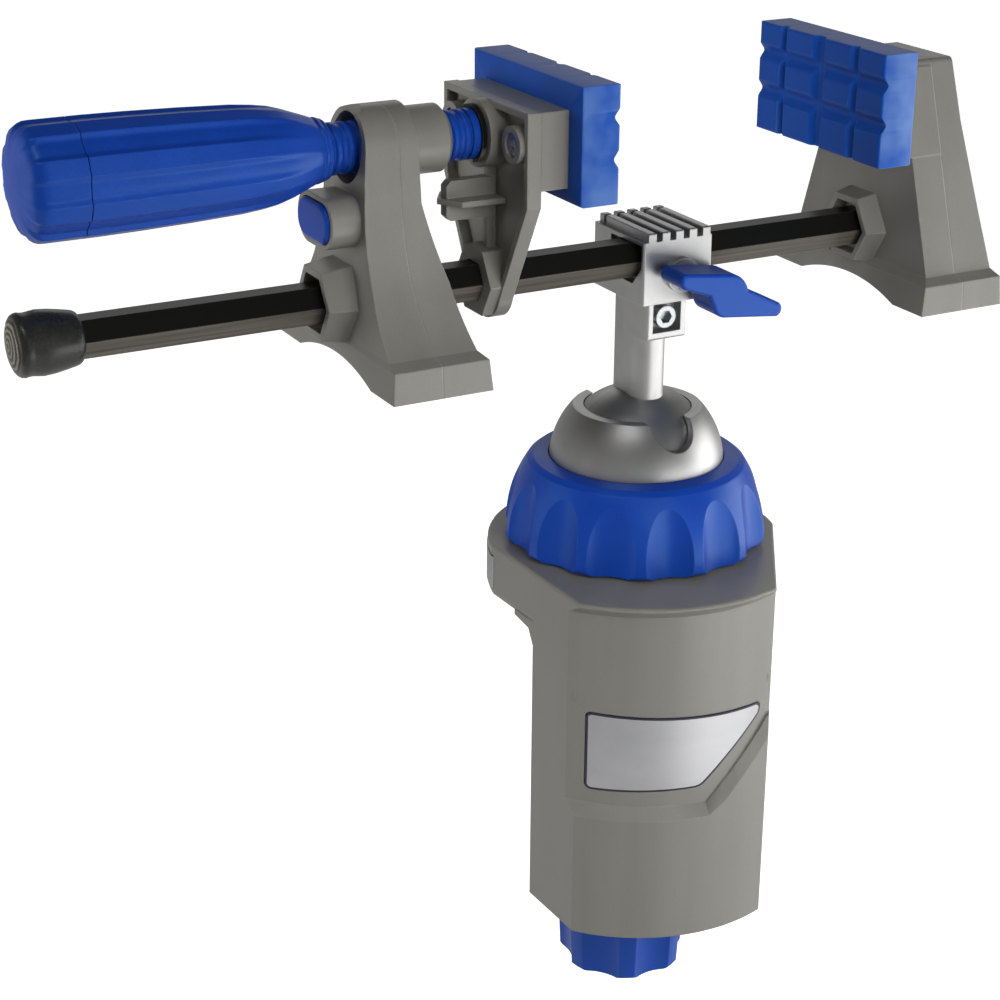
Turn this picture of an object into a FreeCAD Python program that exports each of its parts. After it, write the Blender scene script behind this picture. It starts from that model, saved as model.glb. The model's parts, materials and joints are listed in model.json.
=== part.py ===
import FreeCAD, Part
import math
import os
import re

# Clamp-on table vise: a C-clamp base with a ball joint, and a vise head on a hexagonal bar.
# Lengths are in millimetres. The origin lies where the axis of the ball and of the clamp screw
# meets the top of the table, which is the underside of the upper clamp jaw. +Z is up, +X runs
# along the bar towards the fixed jaw, and the user stands on the -Y side.

Vector = FreeCAD.Vector
Rotation = FreeCAD.Rotation
Placement = FreeCAD.Placement

doc = FreeCAD.newDocument("table_vise")

# Driving dimensions, kept in a spreadsheet. Every size below is one of these or worked out from them.
DRIVING = [
    ("ball_height", 50.0), ("bar_height", 128.7), ("bar_forward", 11.0), ("base_turn", -15.7),
    # the base, in its own frame, turned about the ball axis
    ("plate_radius", 52.5), ("plate_bottom", 1.5), ("plate_top", 22.0), ("side_start", -1.0),
    ("corner_x", 34.8), ("corner_y", -56.6), ("front_y", -67.4), ("spine_back", -28.5),
    ("spine_bottom", -105.5), ("wall", 3.5), ("recess_depth", 3.5), ("recess_top", 17.5),
    ("ledge_low", -54.5), ("ledge_slope", 1.2), ("ledge_high", -29.3), ("ledge_bend_x", 11.0),
    ("arm_top", -73.0), ("arm_bottom", -93.0),
    ("arm_half", 24.0), ("arm_boss", 21.0), ("jaw_pad_radius", 36.0), ("jaw_pad_depth", 3.0),
    ("collar_radius", 37.0), ("collar_bore", 33.4), ("collar_top", 44.0), ("seat_bore", 16.0),
    ("seat_flange", 26.0), ("seat_bottom", 17.0),
    # the lock ring
    ("ring_bottom", 23.0), ("ring_top", 53.0), ("ring_crown", 38.6), ("ring_skirt", 46.8),
    ("ring_flutes", 14), ("flute_radius", 14.0), ("flute_depth", 3.0), ("ring_gap", 0.3),
    # the table clamp, with its pad as far below the jaw as an ordinary table top is thick
    ("table_thickness", 18.0), ("pad_radius", 19.0), ("pad_rubber", 3.0), ("pad_plate", 4.0),
    ("screw_radius", 6.0), ("thread_pitch", 3.0), ("thread_depth", 0.9), ("knob_top", -113.2),
    ("knob_bottom", -152.5), ("knob_crown", 25.2), ("knob_foot", 23.6), ("knob_lobes", 7),
    ("knob_cut", 16.0), ("knob_cut_depth", 3.2),
    ("nut_radius", 10.0), ("running_gap", 0.05),
    # the ball joint
    ("cup_radius", 31.0), ("cup_inner", 28.3), ("ball_radius", 28.0), ("cup_rim", 21.0),
    ("notch_radius", 8.0), ("notch_bottom", 12.0), ("stem_half", 6.5), ("stem_flat", 4.2),
    ("split_y", 3.0), ("ball_hollow", 20.0),
    # the bar and the bracket that holds it
    ("bar_flats", 12.0), ("bar_slack", 0.2), ("bar_left", -222.0), ("bar_right", 101.5),
    ("cap_left", -225.6), ("cap_rim", -204.0), ("cap_big", 10.0), ("cap_small", 8.1),
    ("bracket_half", 13.5), ("bracket_front", -11.7), ("bracket_back", 20.8),
    ("bracket_low", -14.1), ("bracket_top", 7.65), ("ridge_height", 3.0), ("ridge_width", 3.0),
    ("ridge_pitch", 5.3), ("ridge_count", 5), ("socket_half", 8.0), ("socket_front", -6.0),
    ("socket_back", 9.0), ("socket_low", -29.0), ("window_half", 5.5), ("window_low", -26.3),
    ("window_high", -16.2), ("window_depth", 4.5), ("stem_screw_z", -21.2),
    ("lever_x", 1.0), ("lever_z", -4.5), ("lever_back", -14.7), ("lever_front", -27.8),
    ("stud_radius", 3.0), ("stud_boss", 6.0),
    # the two supports, measured from the outer edge of the foot
    ("support_width", 34.4), ("foot_half", 43.5), ("foot_bottom", -22.0), ("foot_top", -12.0),
    ("arch_half", 27.0), ("arch_top", -17.0), ("spindle_z", 48.2), ("crown_radius", 14.2), ("crown_rise", 12.8),
    ("shell", 3.0), ("split_at", 17.0), ("drive_left", -121.0), ("fixed_right", 113.5),
    ("hex_boss", 12.6), ("hex_boss_root", 14.6), ("boss_mouth", 10.2), ("mouth_depth", 5.0), ("drive_boss_tip", -127.8),
    ("fixed_boss_tip", 77.0), ("fixed_top", 60.0), ("fixed_top_half", 15.8), ("fixed_leg_depth", 29.3),
    ("head_low", 29.0), ("head_proud", 0.3), ("foot_screw_y", 33.0), ("foot_screw_z", -16.5),
    ("leg_screw_y", 15.5), ("leg_screw_z", 12.5), ("small_screw", 1.6), ("small_head", 3.0),
    # the spindle, its nut and the handle
    ("spindle_radius", 8.15), ("spindle_pitch", 4.0), ("spindle_depth", 0.8),
    ("spindle_left", -136.0), ("spindle_right", -64.3), ("nose_radius", 10.8),
    ("nose_tip", -83.2), ("nut_left", -108.2), ("handle_end", -221.0), ("handle_seam", -202.3),
    ("handle_neck", -123.0), ("handle_big", 18.1), ("handle_waist", 16.7), ("neck_radius", 10.1),
    ("handle_lobes", 8), ("lobe_cut", 4.5), ("lobe_depth", 1.3), ("bolt_radius", 3.0),
    # the release button
    ("button_z", 26.5), ("button_half", 11.2), ("button_rise", 6.3), ("button_round", 5.8), ("bezel_rim", 1.9),
    ("bezel_tip", -126.4), ("button_face", -127.8), ("button_back", -119.0),
    ("button_travel", 3.0), ("plunger_radius", 4.5),
    ("lock_left", -107.2),
    # the jaws
    ("jaw_right", -62.2), ("jaw_plate", 5.0), ("jaw_half", 28.3), ("jaw_high", 59.2),
    ("jaw_shoulder", 29.3), ("jaw_foot", 10.6), ("hub_radius", 11.0), ("jaw_screw_y", 20.5),
    ("carrier_depth", 9.8), ("carrier_tenon", 6.0), ("carrier_half", 27.7),
    ("carrier_low", 34.3), ("carrier_high", 59.0), ("pad_half", 35.9), ("pad_low", 29.65),
    ("pad_high", 67.5), ("pad_depth", 13.8), ("movable_face", -38.6), ("fixed_face", 61.8),
    ("groove_deep", 2.1),
]
ALIASES = [alias for alias, amount in DRIVING]

sheet = doc.addObject("Spreadsheet::Sheet", "sizes")
for row, (alias, amount) in enumerate(DRIVING, start=1):
    sheet.set("A%d" % row, alias)
    sheet.set("B%d" % row, str(amount))
    sheet.setAlias("B%d" % row, alias)
doc.recompute()


class Sizes:
    """Reads a driving dimension from the spreadsheet by its name."""

    def __getattr__(self, alias):
        return float(sheet.get(alias))


s = Sizes()
NODES = {}

# The three frames of the assembly: the base, the ball and the bar.
BASE = Placement(Vector(0, 0, 0), Rotation(Vector(0, 0, 1), s.base_turn))
BALL = Placement(Vector(0, 0, s.ball_height), Rotation())
BAR = Placement(Vector(0, -s.bar_forward, s.bar_height), Rotation())


def bound(text):
    """Turns a formula in words into one that reads the spreadsheet's cells."""
    def cell(match):
        word = match.group(0)
        return "sizes." + word if word in ALIASES else word
    return re.sub(r"[a-z][a-z_0-9]*", cell, str(text))


def node(label, shape_object, frame=None):
    """Names a finished sub-part and puts it in its place."""
    if shape_object.TypeId not in ("Part::Cut", "Part::MultiFuse", "Part::MultiCommon"):
        # a lone block, rod or link keeps its own place inside a group that takes the frame
        shape_object = moved(label + "_group", shape_object, Placement())
    shape_object.Label = label
    if frame is not None:
        shape_object.Placement = frame
    NODES[label] = shape_object
    return shape_object


def at(thing, x, y, z):
    for axis, formula in (("x", x), ("y", y), ("z", z)):
        thing.setExpression("Placement.Base." + axis, bound(formula))
    return thing


def box(name, x, y, z):
    """A block between two formulas on each axis."""
    block = doc.addObject("Part::Box", name)
    for side, (low, high) in (("Length", x), ("Width", y), ("Height", z)):
        block.setExpression(side, "(%s) - (%s)" % (bound(high), bound(low)))
    return at(block, x[0], y[0], z[0])


def rod(name, axis, centre, radius, low, high):
    """A cylinder along X, Y or Z; centre gives the other two coordinates, in order."""
    turned_rod = doc.addObject("Part::Cylinder", name)
    turned_rod.setExpression("Radius", bound(radius))
    turned_rod.setExpression("Height", "(%s) - (%s)" % (bound(high), bound(low)))
    if axis == "X":
        turned_rod.Placement = Placement(Vector(), Rotation(Vector(0, 1, 0), 90))
        return at(turned_rod, low, centre[0], centre[1])
    if axis == "Y":
        turned_rod.Placement = Placement(Vector(), Rotation(Vector(1, 0, 0), -90))
        return at(turned_rod, centre[0], low, centre[1])
    return at(turned_rod, centre[0], centre[1], low)


def ball(name, radius):
    sphere = doc.addObject("Part::Sphere", name)
    sphere.setExpression("Radius", bound(radius))
    return sphere


def hexagon(name, axis_low, axis_high, radius):
    """A hexagonal prism along X on the bar axis, with a corner towards the user."""
    prism = doc.addObject("Part::Prism", name)
    prism.Polygon = 6
    prism.setExpression("Circumradius", bound(radius))
    prism.setExpression("Height", "(%s) - (%s)" % (bound(axis_high), bound(axis_low)))
    prism.Placement = Placement(Vector(), Rotation(Vector(1, 1, 1), 120))
    return at(prism, axis_low, 0, 0)


def hex_taper(name, axis_low, low_radius, axis_high, high_radius):
    """A hexagonal form along X on the bar axis that widens or narrows evenly."""
    rings = []
    for number, (place, radius) in enumerate(((axis_low, low_radius), (axis_high, high_radius))):
        ring = doc.addObject("Part::RegularPolygon", "%s_ring_%d" % (name, number))
        ring.Polygon = 6
        ring.setExpression("Circumradius", bound(radius))
        ring.Placement = Placement(Vector(), Rotation(Vector(1, 1, 1), 120))
        rings.append(at(ring, place, 0, 0))
    taper = doc.addObject("Part::Loft", name)
    taper.Sections, taper.Solid, taper.Ruled = rings, True, True
    return taper


def draw(body, role, outline, offset):
    """A closed outline on one of a body's planes: points, and (through, end) pairs for arcs."""
    sketch = body.newObject("Sketcher::SketchObject", body.Name + "_sketch")
    plane = [feature for feature in body.Origin.OriginFeatures if feature.Role == role][0]
    sketch.AttachmentSupport = [(plane, "")]
    sketch.MapMode = "FlatFace"
    sketch.setExpression("AttachmentOffset.Base.z", bound(offset))
    start = outline[0]
    here = start
    for item in outline[1:]:
        if isinstance(item[0], tuple):
            through, end = item
            arc = Part.Arc(Vector(*here, 0), Vector(*through, 0), Vector(*end, 0))
            sketch.addGeometry(arc, False)
            here = end
        else:
            sketch.addGeometry(Part.LineSegment(Vector(*here, 0), Vector(*item, 0)), False)
            here = item
    if math.dist(here, start) > 1e-6:
        sketch.addGeometry(Part.LineSegment(Vector(*here, 0), Vector(*start, 0)), False)
    return sketch


def prism(name, role, outline, low, high):
    """An outline padded between two formulas along the plane's own axis."""
    body = doc.addObject("PartDesign::Body", name)
    # the XZ plane of a body looks along -Y, so its pad starts at the far end
    offset = "-(%s)" % high if role == "XZ_Plane" else low
    sketch = draw(body, role, outline, offset)
    pad = body.newObject("PartDesign::Pad", name + "_pad")
    pad.Profile = sketch
    pad.setExpression("Length", "(%s) - (%s)" % (bound(high), bound(low)))
    doc.recompute([body])
    return body


def turning(name, outline, axis):
    """An outline in the XZ plane turned about Z ("V_Axis") or about X ("H_Axis")."""
    body = doc.addObject("PartDesign::Body", name)
    sketch = draw(body, "XZ_Plane", outline, 0)
    revolution = body.newObject("PartDesign::Revolution", name + "_turn")
    revolution.Profile = sketch
    revolution.ReferenceAxis = (sketch, [axis])
    revolution.Angle = 360.0
    doc.recompute([body])
    return body


def joined(name, *pieces):
    union = doc.addObject("Part::MultiFuse", name)
    union.Shapes = list(pieces)
    return union


def shared(name, first, second):
    common = doc.addObject("Part::MultiCommon", name)
    common.Shapes = [first, second]
    return common


def cut(name, base, *tools):
    tool = tools[0] if len(tools) == 1 else joined(name + "_tools", *tools)
    difference = doc.addObject("Part::Cut", name)
    difference.Base = base
    difference.Tool = tool
    return difference


def moved(name, base, frame):
    """The same shape in another place, still linked to its source."""
    link = doc.addObject("Part::Compound", name)
    link.Links = [base]
    link.Placement = frame
    return link


def softened(name, base, radius, chosen):
    """Rounds the edges of a shape that a test on their middle point chooses."""
    doc.recompute()
    fillet = doc.addObject("Part::Fillet", name)
    fillet.Base = base
    picked = []
    for number, edge in enumerate(base.Shape.Edges, start=1):
        if edge.Length > 2 * radius and chosen(edge.CenterOfMass, edge):
            picked.append((number, radius, radius))
    fillet.Edges = picked
    doc.recompute()
    if fillet.Shape.isNull() or not fillet.Shape.isValid():
        raise RuntimeError(name + " could not be rounded")
    return fillet


# The base: a moulded body whose round upper jaw and hollow spine are one piece.
def front_circle():
    """Radius and centre, on the Y axis, of the bowed front face in plan."""
    rise = s.corner_y - s.front_y
    radius = (s.corner_x ** 2 + rise ** 2) / (2 * rise)
    return radius, s.front_y + radius


def front_corner(depth):
    """Where the side of the plan meets the front face once this much has been taken off it."""
    radius, centre_y = front_circle()
    side_x = math.sqrt(s.plate_radius ** 2 - s.side_start ** 2)
    run_x, run_y = s.corner_x - side_x, s.corner_y - s.side_start
    square = run_x ** 2 + run_y ** 2
    half = side_x * run_x + (s.side_start - centre_y) * run_y
    rest = side_x ** 2 + (s.side_start - centre_y) ** 2 - (radius - depth) ** 2
    share = (math.sqrt(half ** 2 - square * rest) - half) / square
    return side_x + share * run_x, s.side_start + share * run_y


def plan_outline(depth):
    """The shield-shaped plan of the base: a round back, sides that draw in, a bowed front."""
    side_x = math.sqrt(s.plate_radius ** 2 - s.side_start ** 2)
    corner = front_corner(depth)
    return [(side_x, s.side_start), ((0, s.plate_radius), (-side_x, s.side_start)),
            (-corner[0], corner[1]), ((0, s.front_y + depth), corner)]


def spine_outline(inset, back):
    """The part of the plan that the spine keeps, in front of the line y = back."""
    side_x = math.sqrt((s.plate_radius - inset) ** 2 - s.side_start ** 2)
    corner = (s.corner_x - inset, s.corner_y + 0.4 * inset)
    share = (s.side_start - back) / (s.side_start - corner[1])
    back_x = side_x + share * (corner[0] - side_x)
    return [(back_x, back), (-back_x, back), (-corner[0], corner[1]),
            ((0, s.front_y + inset), corner)]


def behind_front(depth):
    """Everything behind the bowed front face once this much has been taken off it."""
    x, y = front_corner(depth)
    return [(60, -20), (-60, -20), (-60, y), (-x, y), ((0, s.front_y + depth), (x, y)), (60, y)]


def is_front_corner(c, e):
    upright = abs(e.Vertexes[0].Point.z - e.Vertexes[-1].Point.z) > 5
    return upright and c.y < s.corner_y + 2 * s.recess_depth and abs(c.x) > s.corner_x - 1


def make_recess_bevels():
    """The slopes above and below the recessed front: cones, and a strip up the ledge's climb."""
    radius, centre_y = front_circle()
    inner = radius - s.recess_depth + 0.05
    outer = radius + 2
    fall = (outer - inner) * s.ledge_slope
    placed = Placement(Vector(0, centre_y, 0), Rotation())
    ring = turning("ledge_ring", [(inner, s.ledge_low), (outer, s.ledge_low - fall),
                                  (outer, s.ledge_low + 1), (inner, s.ledge_low + 1)], "V_Axis")
    side = box("ledge_ring_side", (-70, "ledge_bend_x"), (-80, "corner_y + 14"), (-100, -40))
    level = shared("ledge_level", moved("ledge_ring_placed", ring, placed), side)
    brow = turning("brow_ring", [(inner, s.recess_top - 1), (outer, s.recess_top - 1),
                                 (outer, s.recess_top + outer - inner), (inner, s.recess_top)], "V_Axis")
    ahead = box("brow_side", (-70, 70), (-80, "corner_y + 14"), (10, 30))
    above = shared("brow", moved("brow_ring_placed", brow, placed), ahead)
    sections = []
    climb = (s.ledge_high - s.ledge_low) / (s.corner_x - s.ledge_bend_x)
    steep = s.ledge_slope * math.hypot(1, climb)
    for number in range(6):
        x = s.ledge_bend_x - 0.01 + number * (s.corner_x + 5 - s.ledge_bend_x) / 5
        height = s.ledge_low + climb * (x - s.ledge_bend_x)
        angle = math.asin(x / radius)
        drop = (outer - inner) * (s.ledge_slope if number == 0 else steep)
        corners = [(inner, height), (outer, height - drop), (outer, height + 1), (inner, height + 1)]
        wire = doc.addObject("Part::Polygon", "ledge_section_%d" % number)
        wire.Nodes = [Vector(reach * math.sin(angle), centre_y - reach * math.cos(angle), z)
                      for reach, z in corners]
        wire.Close = True
        sections.append(wire)
    strip = doc.addObject("Part::Loft", "ledge_climb")
    strip.Sections = sections
    strip.Solid = True
    strip.Ruled = True
    return [level, above, strip]


def make_clamp_body():
    plate = prism("jaw_block", "XY_Plane", plan_outline(0), "plate_bottom", "plate_top")
    plate = softened("jaw_block_corners", plate, 2.0, is_front_corner)
    plate = softened("jaw_block_soft", plate, 1.2, lambda c, e: abs(c.z - s.plate_top) < 0.1)
    plate = softened("jaw_block_under", plate, 3.5,
                     lambda c, e: abs(c.z - s.plate_bottom) < 0.1)
    spine = prism("spine_block", "XY_Plane", spine_outline(0, s.spine_back),
                  "spine_bottom", "plate_bottom + 6")
    spine = softened("spine_corners", spine, 2.0, is_front_corner)
    arm = prism("arm_block", "XY_Plane",
                [(s.arm_half, s.spine_back - 6), (s.arm_half, s.spine_back),
                 (s.arm_boss, 0), ((0, s.arm_boss), (-s.arm_boss, 0)),
                 (-s.arm_half, s.spine_back), (-s.arm_half, s.spine_back - 6)],
                "arm_bottom", "arm_top")
    web_edge = s.spine_back + 3
    web_side = prism("throat_web_side", "YZ_Plane",
                     [(s.spine_back - 2, -5.5), (s.spine_back, -5.5), (web_edge, 0),
                      (web_edge + 9, s.plate_bottom), (web_edge + 9, s.plate_bottom + 2),
                      (s.spine_back - 2, s.plate_bottom + 2)],
                     -60, 60)
    web_plan = prism("throat_web_plan", "XY_Plane", plan_outline(0), -8, "plate_bottom + 3")
    throat_web = shared("throat_web", web_side, web_plan)
    collar = rod("collar", "Z", (0, 0), "collar_radius", "plate_top - 1", "collar_top")
    solid = joined("clamp_block", plate, spine, arm, throat_web, collar)
    # the upper front stands back from the lower front, above a ledge that climbs to the right
    recess_front = prism("recess_front", "XZ_Plane",
                         [(-60, s.ledge_low), (s.ledge_bend_x, s.ledge_low),
                          (s.corner_x, s.ledge_high), (s.corner_x + 10, s.ledge_high + 7),
                          (s.corner_x + 10, s.recess_top), (-60, s.recess_top)],
                         "front_y - 6", "corner_y + 14")
    kept = prism("recess_kept", "XY_Plane", plan_outline(s.recess_depth),
                 "spine_bottom", "plate_top")
    kept = softened("recess_kept_corners", kept, 2.0, is_front_corner)
    recess = cut("recess", recess_front, kept)
    body = cut("clamp_block_stepped", solid, recess, *make_recess_bevels())
    upper = prism("upper_cavity", "XY_Plane",
                  spine_outline(s.wall + s.recess_depth, s.spine_back + 1),
                  "arm_top + 8", "plate_bottom - 9")
    lower = prism("lower_cavity", "XY_Plane", spine_outline(s.wall, s.spine_back - 3),
                  "spine_bottom + wall", "arm_top - 3")
    root = box("arm_root", ("-arm_half - 3", "arm_half + 3"), ("spine_back - 10", "spine_back"),
               ("arm_bottom - 3", "arm_top + 4"))
    under = cut("lower_hollow", lower, root)
    bore = rod("collar_hole", "Z", (0, 0), "collar_bore", "plate_top", "collar_top + 1")
    pocket = rod("seat_pocket", "Z", (0, 0), "seat_flange", "seat_bottom", "plate_top + 1")
    nut_hole = rod("nut_hole", "Z", (0, 0), "nut_radius", "arm_bottom - 1", "arm_top + 1")
    pad_seat = jaw_pad_disc("jaw_pad_seat", -1)
    strap_slot = box("strap_slot", ("-15", "15"), ("spine_back - 7.9", "spine_back - 3.9"),
                     ("arm_bottom - 8", "plate_bottom - 9"))
    cover_rebate = box("cover_rebate", ("-arm_half - 15.5", "arm_half + 15.5"),
                       ("spine_back - 3", "spine_back + 1"), ("arm_top + 4", "plate_bottom - 6.5"))
    body = cut("clamp_body_hollow", body, upper, under, bore, pocket, nut_hole, pad_seat, strap_slot,
               cover_rebate)
    screw_holes = [rod("cover_hole_%d" % number, "Y", (x, z), "small_screw",
                       "spine_back - 12", "spine_back + 1")
                   for number, (x, z) in enumerate(COVER_SCREWS)]
    bosses = [rod("cover_boss_%d" % number, "Y", (x, z), "2.6 * small_screw",
                  "corner_y + 4", "spine_back - 3")
              for number, (x, z) in enumerate(COVER_SCREWS)]
    body = cut("clamp_body_holed", joined("clamp_body_bossed", body, *bosses), *screw_holes)
    badge = badge_blank("badge_pocket", 0.8, 0.2)
    body = cut("clamp_body_pocketed", body, badge, rim_badge_blank("rim_pocket", 0.2))
    node("clamp_body", body, BASE)


COVER_SCREWS = [(-31, -14), (31, -14), (-31, -60), (31, -60)]


def badge_blank(name, sunk, grow):
    """The shield of the front badge as a thin curved slab let into the front face."""
    left, right, low, high = -31 - grow, 31.6 + grow, -48.8 - grow, -19.4 + grow
    outline = [(left, low + 1.8), (left, high - 1.8), ((left + 0.6, high - 0.5), (left + 1.8, high)),
               (right - 2.6, high - 2.4), ((right - 0.6, high - 3.2), (right, high - 5.2)),
               (right - 0.5, high - 7.0), (9.6 + grow, low + 1.9),
               ((8.0, low + 0.9), (5.6, low + 0.5)), (left + 1.8, low),
               ((left + 0.6, low + 0.6), (left, low + 1.8))]
    slab = prism(name + "_front", "XZ_Plane", outline, "front_y - 6", "corner_y + 14")
    core = prism(name + "_core", "XY_Plane", behind_front(s.recess_depth + sunk),
                 "spine_bottom", "plate_bottom")
    return cut(name, slab, core)


def make_badge_plate():
    skin = prism("badge_skin", "XY_Plane", behind_front(s.recess_depth - 0.3),
                 "spine_bottom", "plate_bottom")
    node("badge_plate", shared("badge_solid", badge_blank("badge_thick", 0.8, 0), skin), BASE)


def rim_badge_blank(name, grow):
    """A small curved plate on the left rim of the upper jaw."""
    outer = rod(name + "_outer", "Z", (0, 0), "plate_radius + 0.3", 5.5 - grow, 18 + grow)
    inner = rod(name + "_inner", "Z", (0, 0), "plate_radius - 0.7", 4, 19)
    band = cut(name + "_band", outer, inner)
    window = box(name + "_window", (-60, -40), (-10 - grow, 10 + grow), (0, 22))
    turned = moved(name + "_window_turned", window, Placement(Vector(), Rotation(Vector(0, 0, 1), -8.8)))
    return shared(name, band, turned)


def make_rim_badge():
    node("rim_badge", rim_badge_blank("rim_badge_solid", 0), BASE)


def make_spine_back_cover():
    panel = box("cover_panel", ("-arm_half - 15.3", "arm_half + 15.3"),
                ("spine_back - 3", "spine_back"), ("arm_top + 4.2", "plate_bottom - 6.7"))
    holes = [rod("cover_screw_hole_%d" % number, "Y", (x, z), "small_screw",
                 "spine_back - 4", "spine_back + 1")
             for number, (x, z) in enumerate(COVER_SCREWS)]
    sinks = [rod("cover_screw_sink_%d" % number, "Y", (x, z), "small_head",
                 "spine_back - 1.4", "spine_back + 1")
             for number, (x, z) in enumerate(COVER_SCREWS)]
    node("spine_back_cover", cut("cover_solid", panel, *holes, *sinks), BASE)


def screw(name, axis, centre, shank, head, tip, seat, top):
    """A pan-head screw along an axis: shank from tip to seat, head from seat to top, cross recess."""
    body = joined(name + "_blank", rod(name + "_shank", axis, centre, shank, tip, seat),
                  rod(name + "_head", axis, centre, head, seat, top))
    return body


def make_back_cover_screws():
    screws = [screw("cover_screw_%d" % number, "Y", (x, z), "small_screw", "small_head - 0.1",
                    "spine_back - 12", "spine_back - 1.4", "spine_back - 0.1")
              for number, (x, z) in enumerate(COVER_SCREWS)]
    group = doc.addObject("Part::Compound", "cover_screws")
    group.Links = screws
    node("back_cover_screws", group, BASE)


def make_spine_stiffener():
    strap = box("stiffener_strap", ("-15", "15"), ("spine_back - 7.9", "spine_back - 3.9"),
                ("arm_bottom - 8", "plate_bottom - 9"))
    node("spine_stiffener", strap, BASE)


def jaw_pad_disc(name, low):
    """The round rubber pad under the jaw, with a flat side towards the spine."""
    disc = rod(name + "_round", "Z", (0, 0), "jaw_pad_radius", low, "jaw_pad_depth")
    flat = box(name + "_flat", (-40, 40), ("-jaw_pad_radius - 5", "spine_back + 3"), (-9, 9))
    return cut(name, disc, flat)


def make_upper_jaw_pad():
    disc = jaw_pad_disc("jaw_pad_disc", 0)
    groove_count = 4
    grooves = []
    for number in range(groove_count):
        radius = s.jaw_pad_radius * (number + 1) / (groove_count + 1)
        outer = rod("pad_groove_out_%d" % number, "Z", (0, 0), radius + 0.6, -1, 0.7)
        inner = rod("pad_groove_in_%d" % number, "Z", (0, 0), radius - 0.6, -2, 1)
        grooves.append(cut("pad_groove_%d" % number, outer, inner))
    node("upper_jaw_pad", cut("jaw_pad_solid", disc, *grooves), BASE)


def make_ball_seat():
    touch = s.cup_radius + s.ring_gap

    def on_cup(radius):
        return (radius, s.ball_height - math.sqrt(touch ** 2 - radius ** 2))

    top_radius = math.sqrt(touch ** 2 - (s.ball_height - s.collar_top) ** 2)
    outline = [(s.seat_bore, s.seat_bottom), (s.seat_flange, s.seat_bottom),
               (s.seat_flange, s.plate_top), (s.collar_bore, s.plate_top),
               (s.collar_bore, s.collar_top), (top_radius, s.collar_top),
               (on_cup(25), on_cup(s.seat_bore))]
    node("ball_seat", turning("seat_turned", outline, "V_Axis"), BASE)


def make_arm_nut():
    sleeve = rod("nut_sleeve", "Z", (0, 0), "nut_radius", "arm_bottom", "arm_top")
    flange = rod("nut_flange", "Z", (0, 0), "nut_radius + 2.5", "arm_bottom - 2", "arm_bottom")
    bore = rod("nut_bore", "Z", (0, 0), "screw_radius + running_gap", "arm_bottom - 3", "arm_top + 1")
    node("arm_nut", cut("nut_solid", joined("nut_blank", sleeve, flange), bore), BASE)


# The lock ring: a fluted blue ring that screws onto the collar and grips the cup.
def make_lock_ring():
    touch = s.cup_radius + s.ring_gap

    def on_cup(height):
        return (math.sqrt(touch ** 2 - (s.ball_height - height) ** 2), height)

    bore = s.collar_radius + 0.15
    lip = s.collar_top + 1.5
    outline = [(bore, s.ring_bottom), (s.ring_skirt - 1.5, s.ring_bottom),
               (s.ring_skirt, s.ring_bottom + 1.5),
               ((s.ring_skirt - 1.6, s.ring_bottom + 13), (s.ring_crown, s.ring_top - 2.2)),
               (s.ring_crown - 2, s.ring_top - 0.6), on_cup(s.ring_top),
               (on_cup(s.ball_height), on_cup(lip)), (bore, lip)]
    blank = turning("ring_blank", outline, "V_Axis")
    flutes = []
    count = int(s.ring_flutes)
    low = s.ring_bottom - 2
    reach = s.ring_skirt - s.flute_depth + s.flute_radius
    lean = math.degrees(math.atan2(3.4, s.ring_top - s.ring_bottom))
    for number in range(count):
        angle = 360.0 * (number + 0.5) / count
        flute = rod("ring_flute_rod_%d" % number, "Z", (0, 0), "flute_radius", 0, 40)
        turn = Rotation(Vector(0, 0, 1), angle)
        tilt = Rotation(Vector(0, 1, 0), -lean)
        place = Placement(turn.multVec(Vector(reach, 0, low)), turn.multiply(tilt))
        flutes.append(moved("ring_flute_%d" % number, flute, place))
    node("lock_ring", cut("ring_solid", blank, *flutes), BASE)


# The table clamp: a screw with a swivelling pad above the arm and a lobed knob below it.
def make_clamp_pad():
    top = -s.table_thickness
    plate_top = top - s.pad_rubber
    plate_low = plate_top - s.pad_plate
    rubber = rod("pad_rubber_disc", "Z", (0, 0), "pad_radius - 0.6", str(plate_top), str(top))
    node("pad_rubber", rubber, BASE)
    outline = [(4.6, plate_low - 1), (9, plate_low - 2.5), (11, plate_low), (s.pad_radius, plate_low + 2.5),
               (s.pad_radius, plate_top), (0, plate_top), (0, plate_low + 2.8), (4.6, plate_low + 2.8)]
    node("pad_plate", turning("pad_turned", outline, "V_Axis"), BASE)


def thread_outline(radius, depth, pitch, low, high):
    """Right-hand side of a threaded rod: a trapezoid crest and root in every pitch."""
    points = [(radius - depth, low)]
    turns = int((high - low) / pitch)
    for turn in range(turns):
        start = low + turn * pitch
        points += [(radius - depth, start + 0.2 * pitch), (radius, start + 0.4 * pitch),
                   (radius, start + 0.7 * pitch), (radius - depth, start + 0.9 * pitch)]
    points.append((radius - depth, high))
    return points


def make_clamp_screw():
    plate_low = -s.table_thickness - s.pad_rubber - s.pad_plate
    tip = plate_low + 2.5
    neck_low = plate_low - 5
    thread = thread_outline(s.screw_radius, s.thread_depth, s.thread_pitch, s.knob_top, neck_low)
    outline = [(0, s.knob_bottom + 12), (s.screw_radius - 1, s.knob_bottom + 12),
               (s.screw_radius - 1, s.knob_top)] + thread
    outline += [(4.2, neck_low), (4.2, tip), (0, tip)]
    screw_body = turning("clamp_screw_turned", outline, "V_Axis")
    pin_hole = rod("screw_pin_hole", "X", (0, "knob_top - 8"), 1.5, -10, 10)
    node("clamp_screw", cut("clamp_screw_solid", screw_body, pin_hole), BASE)


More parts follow.
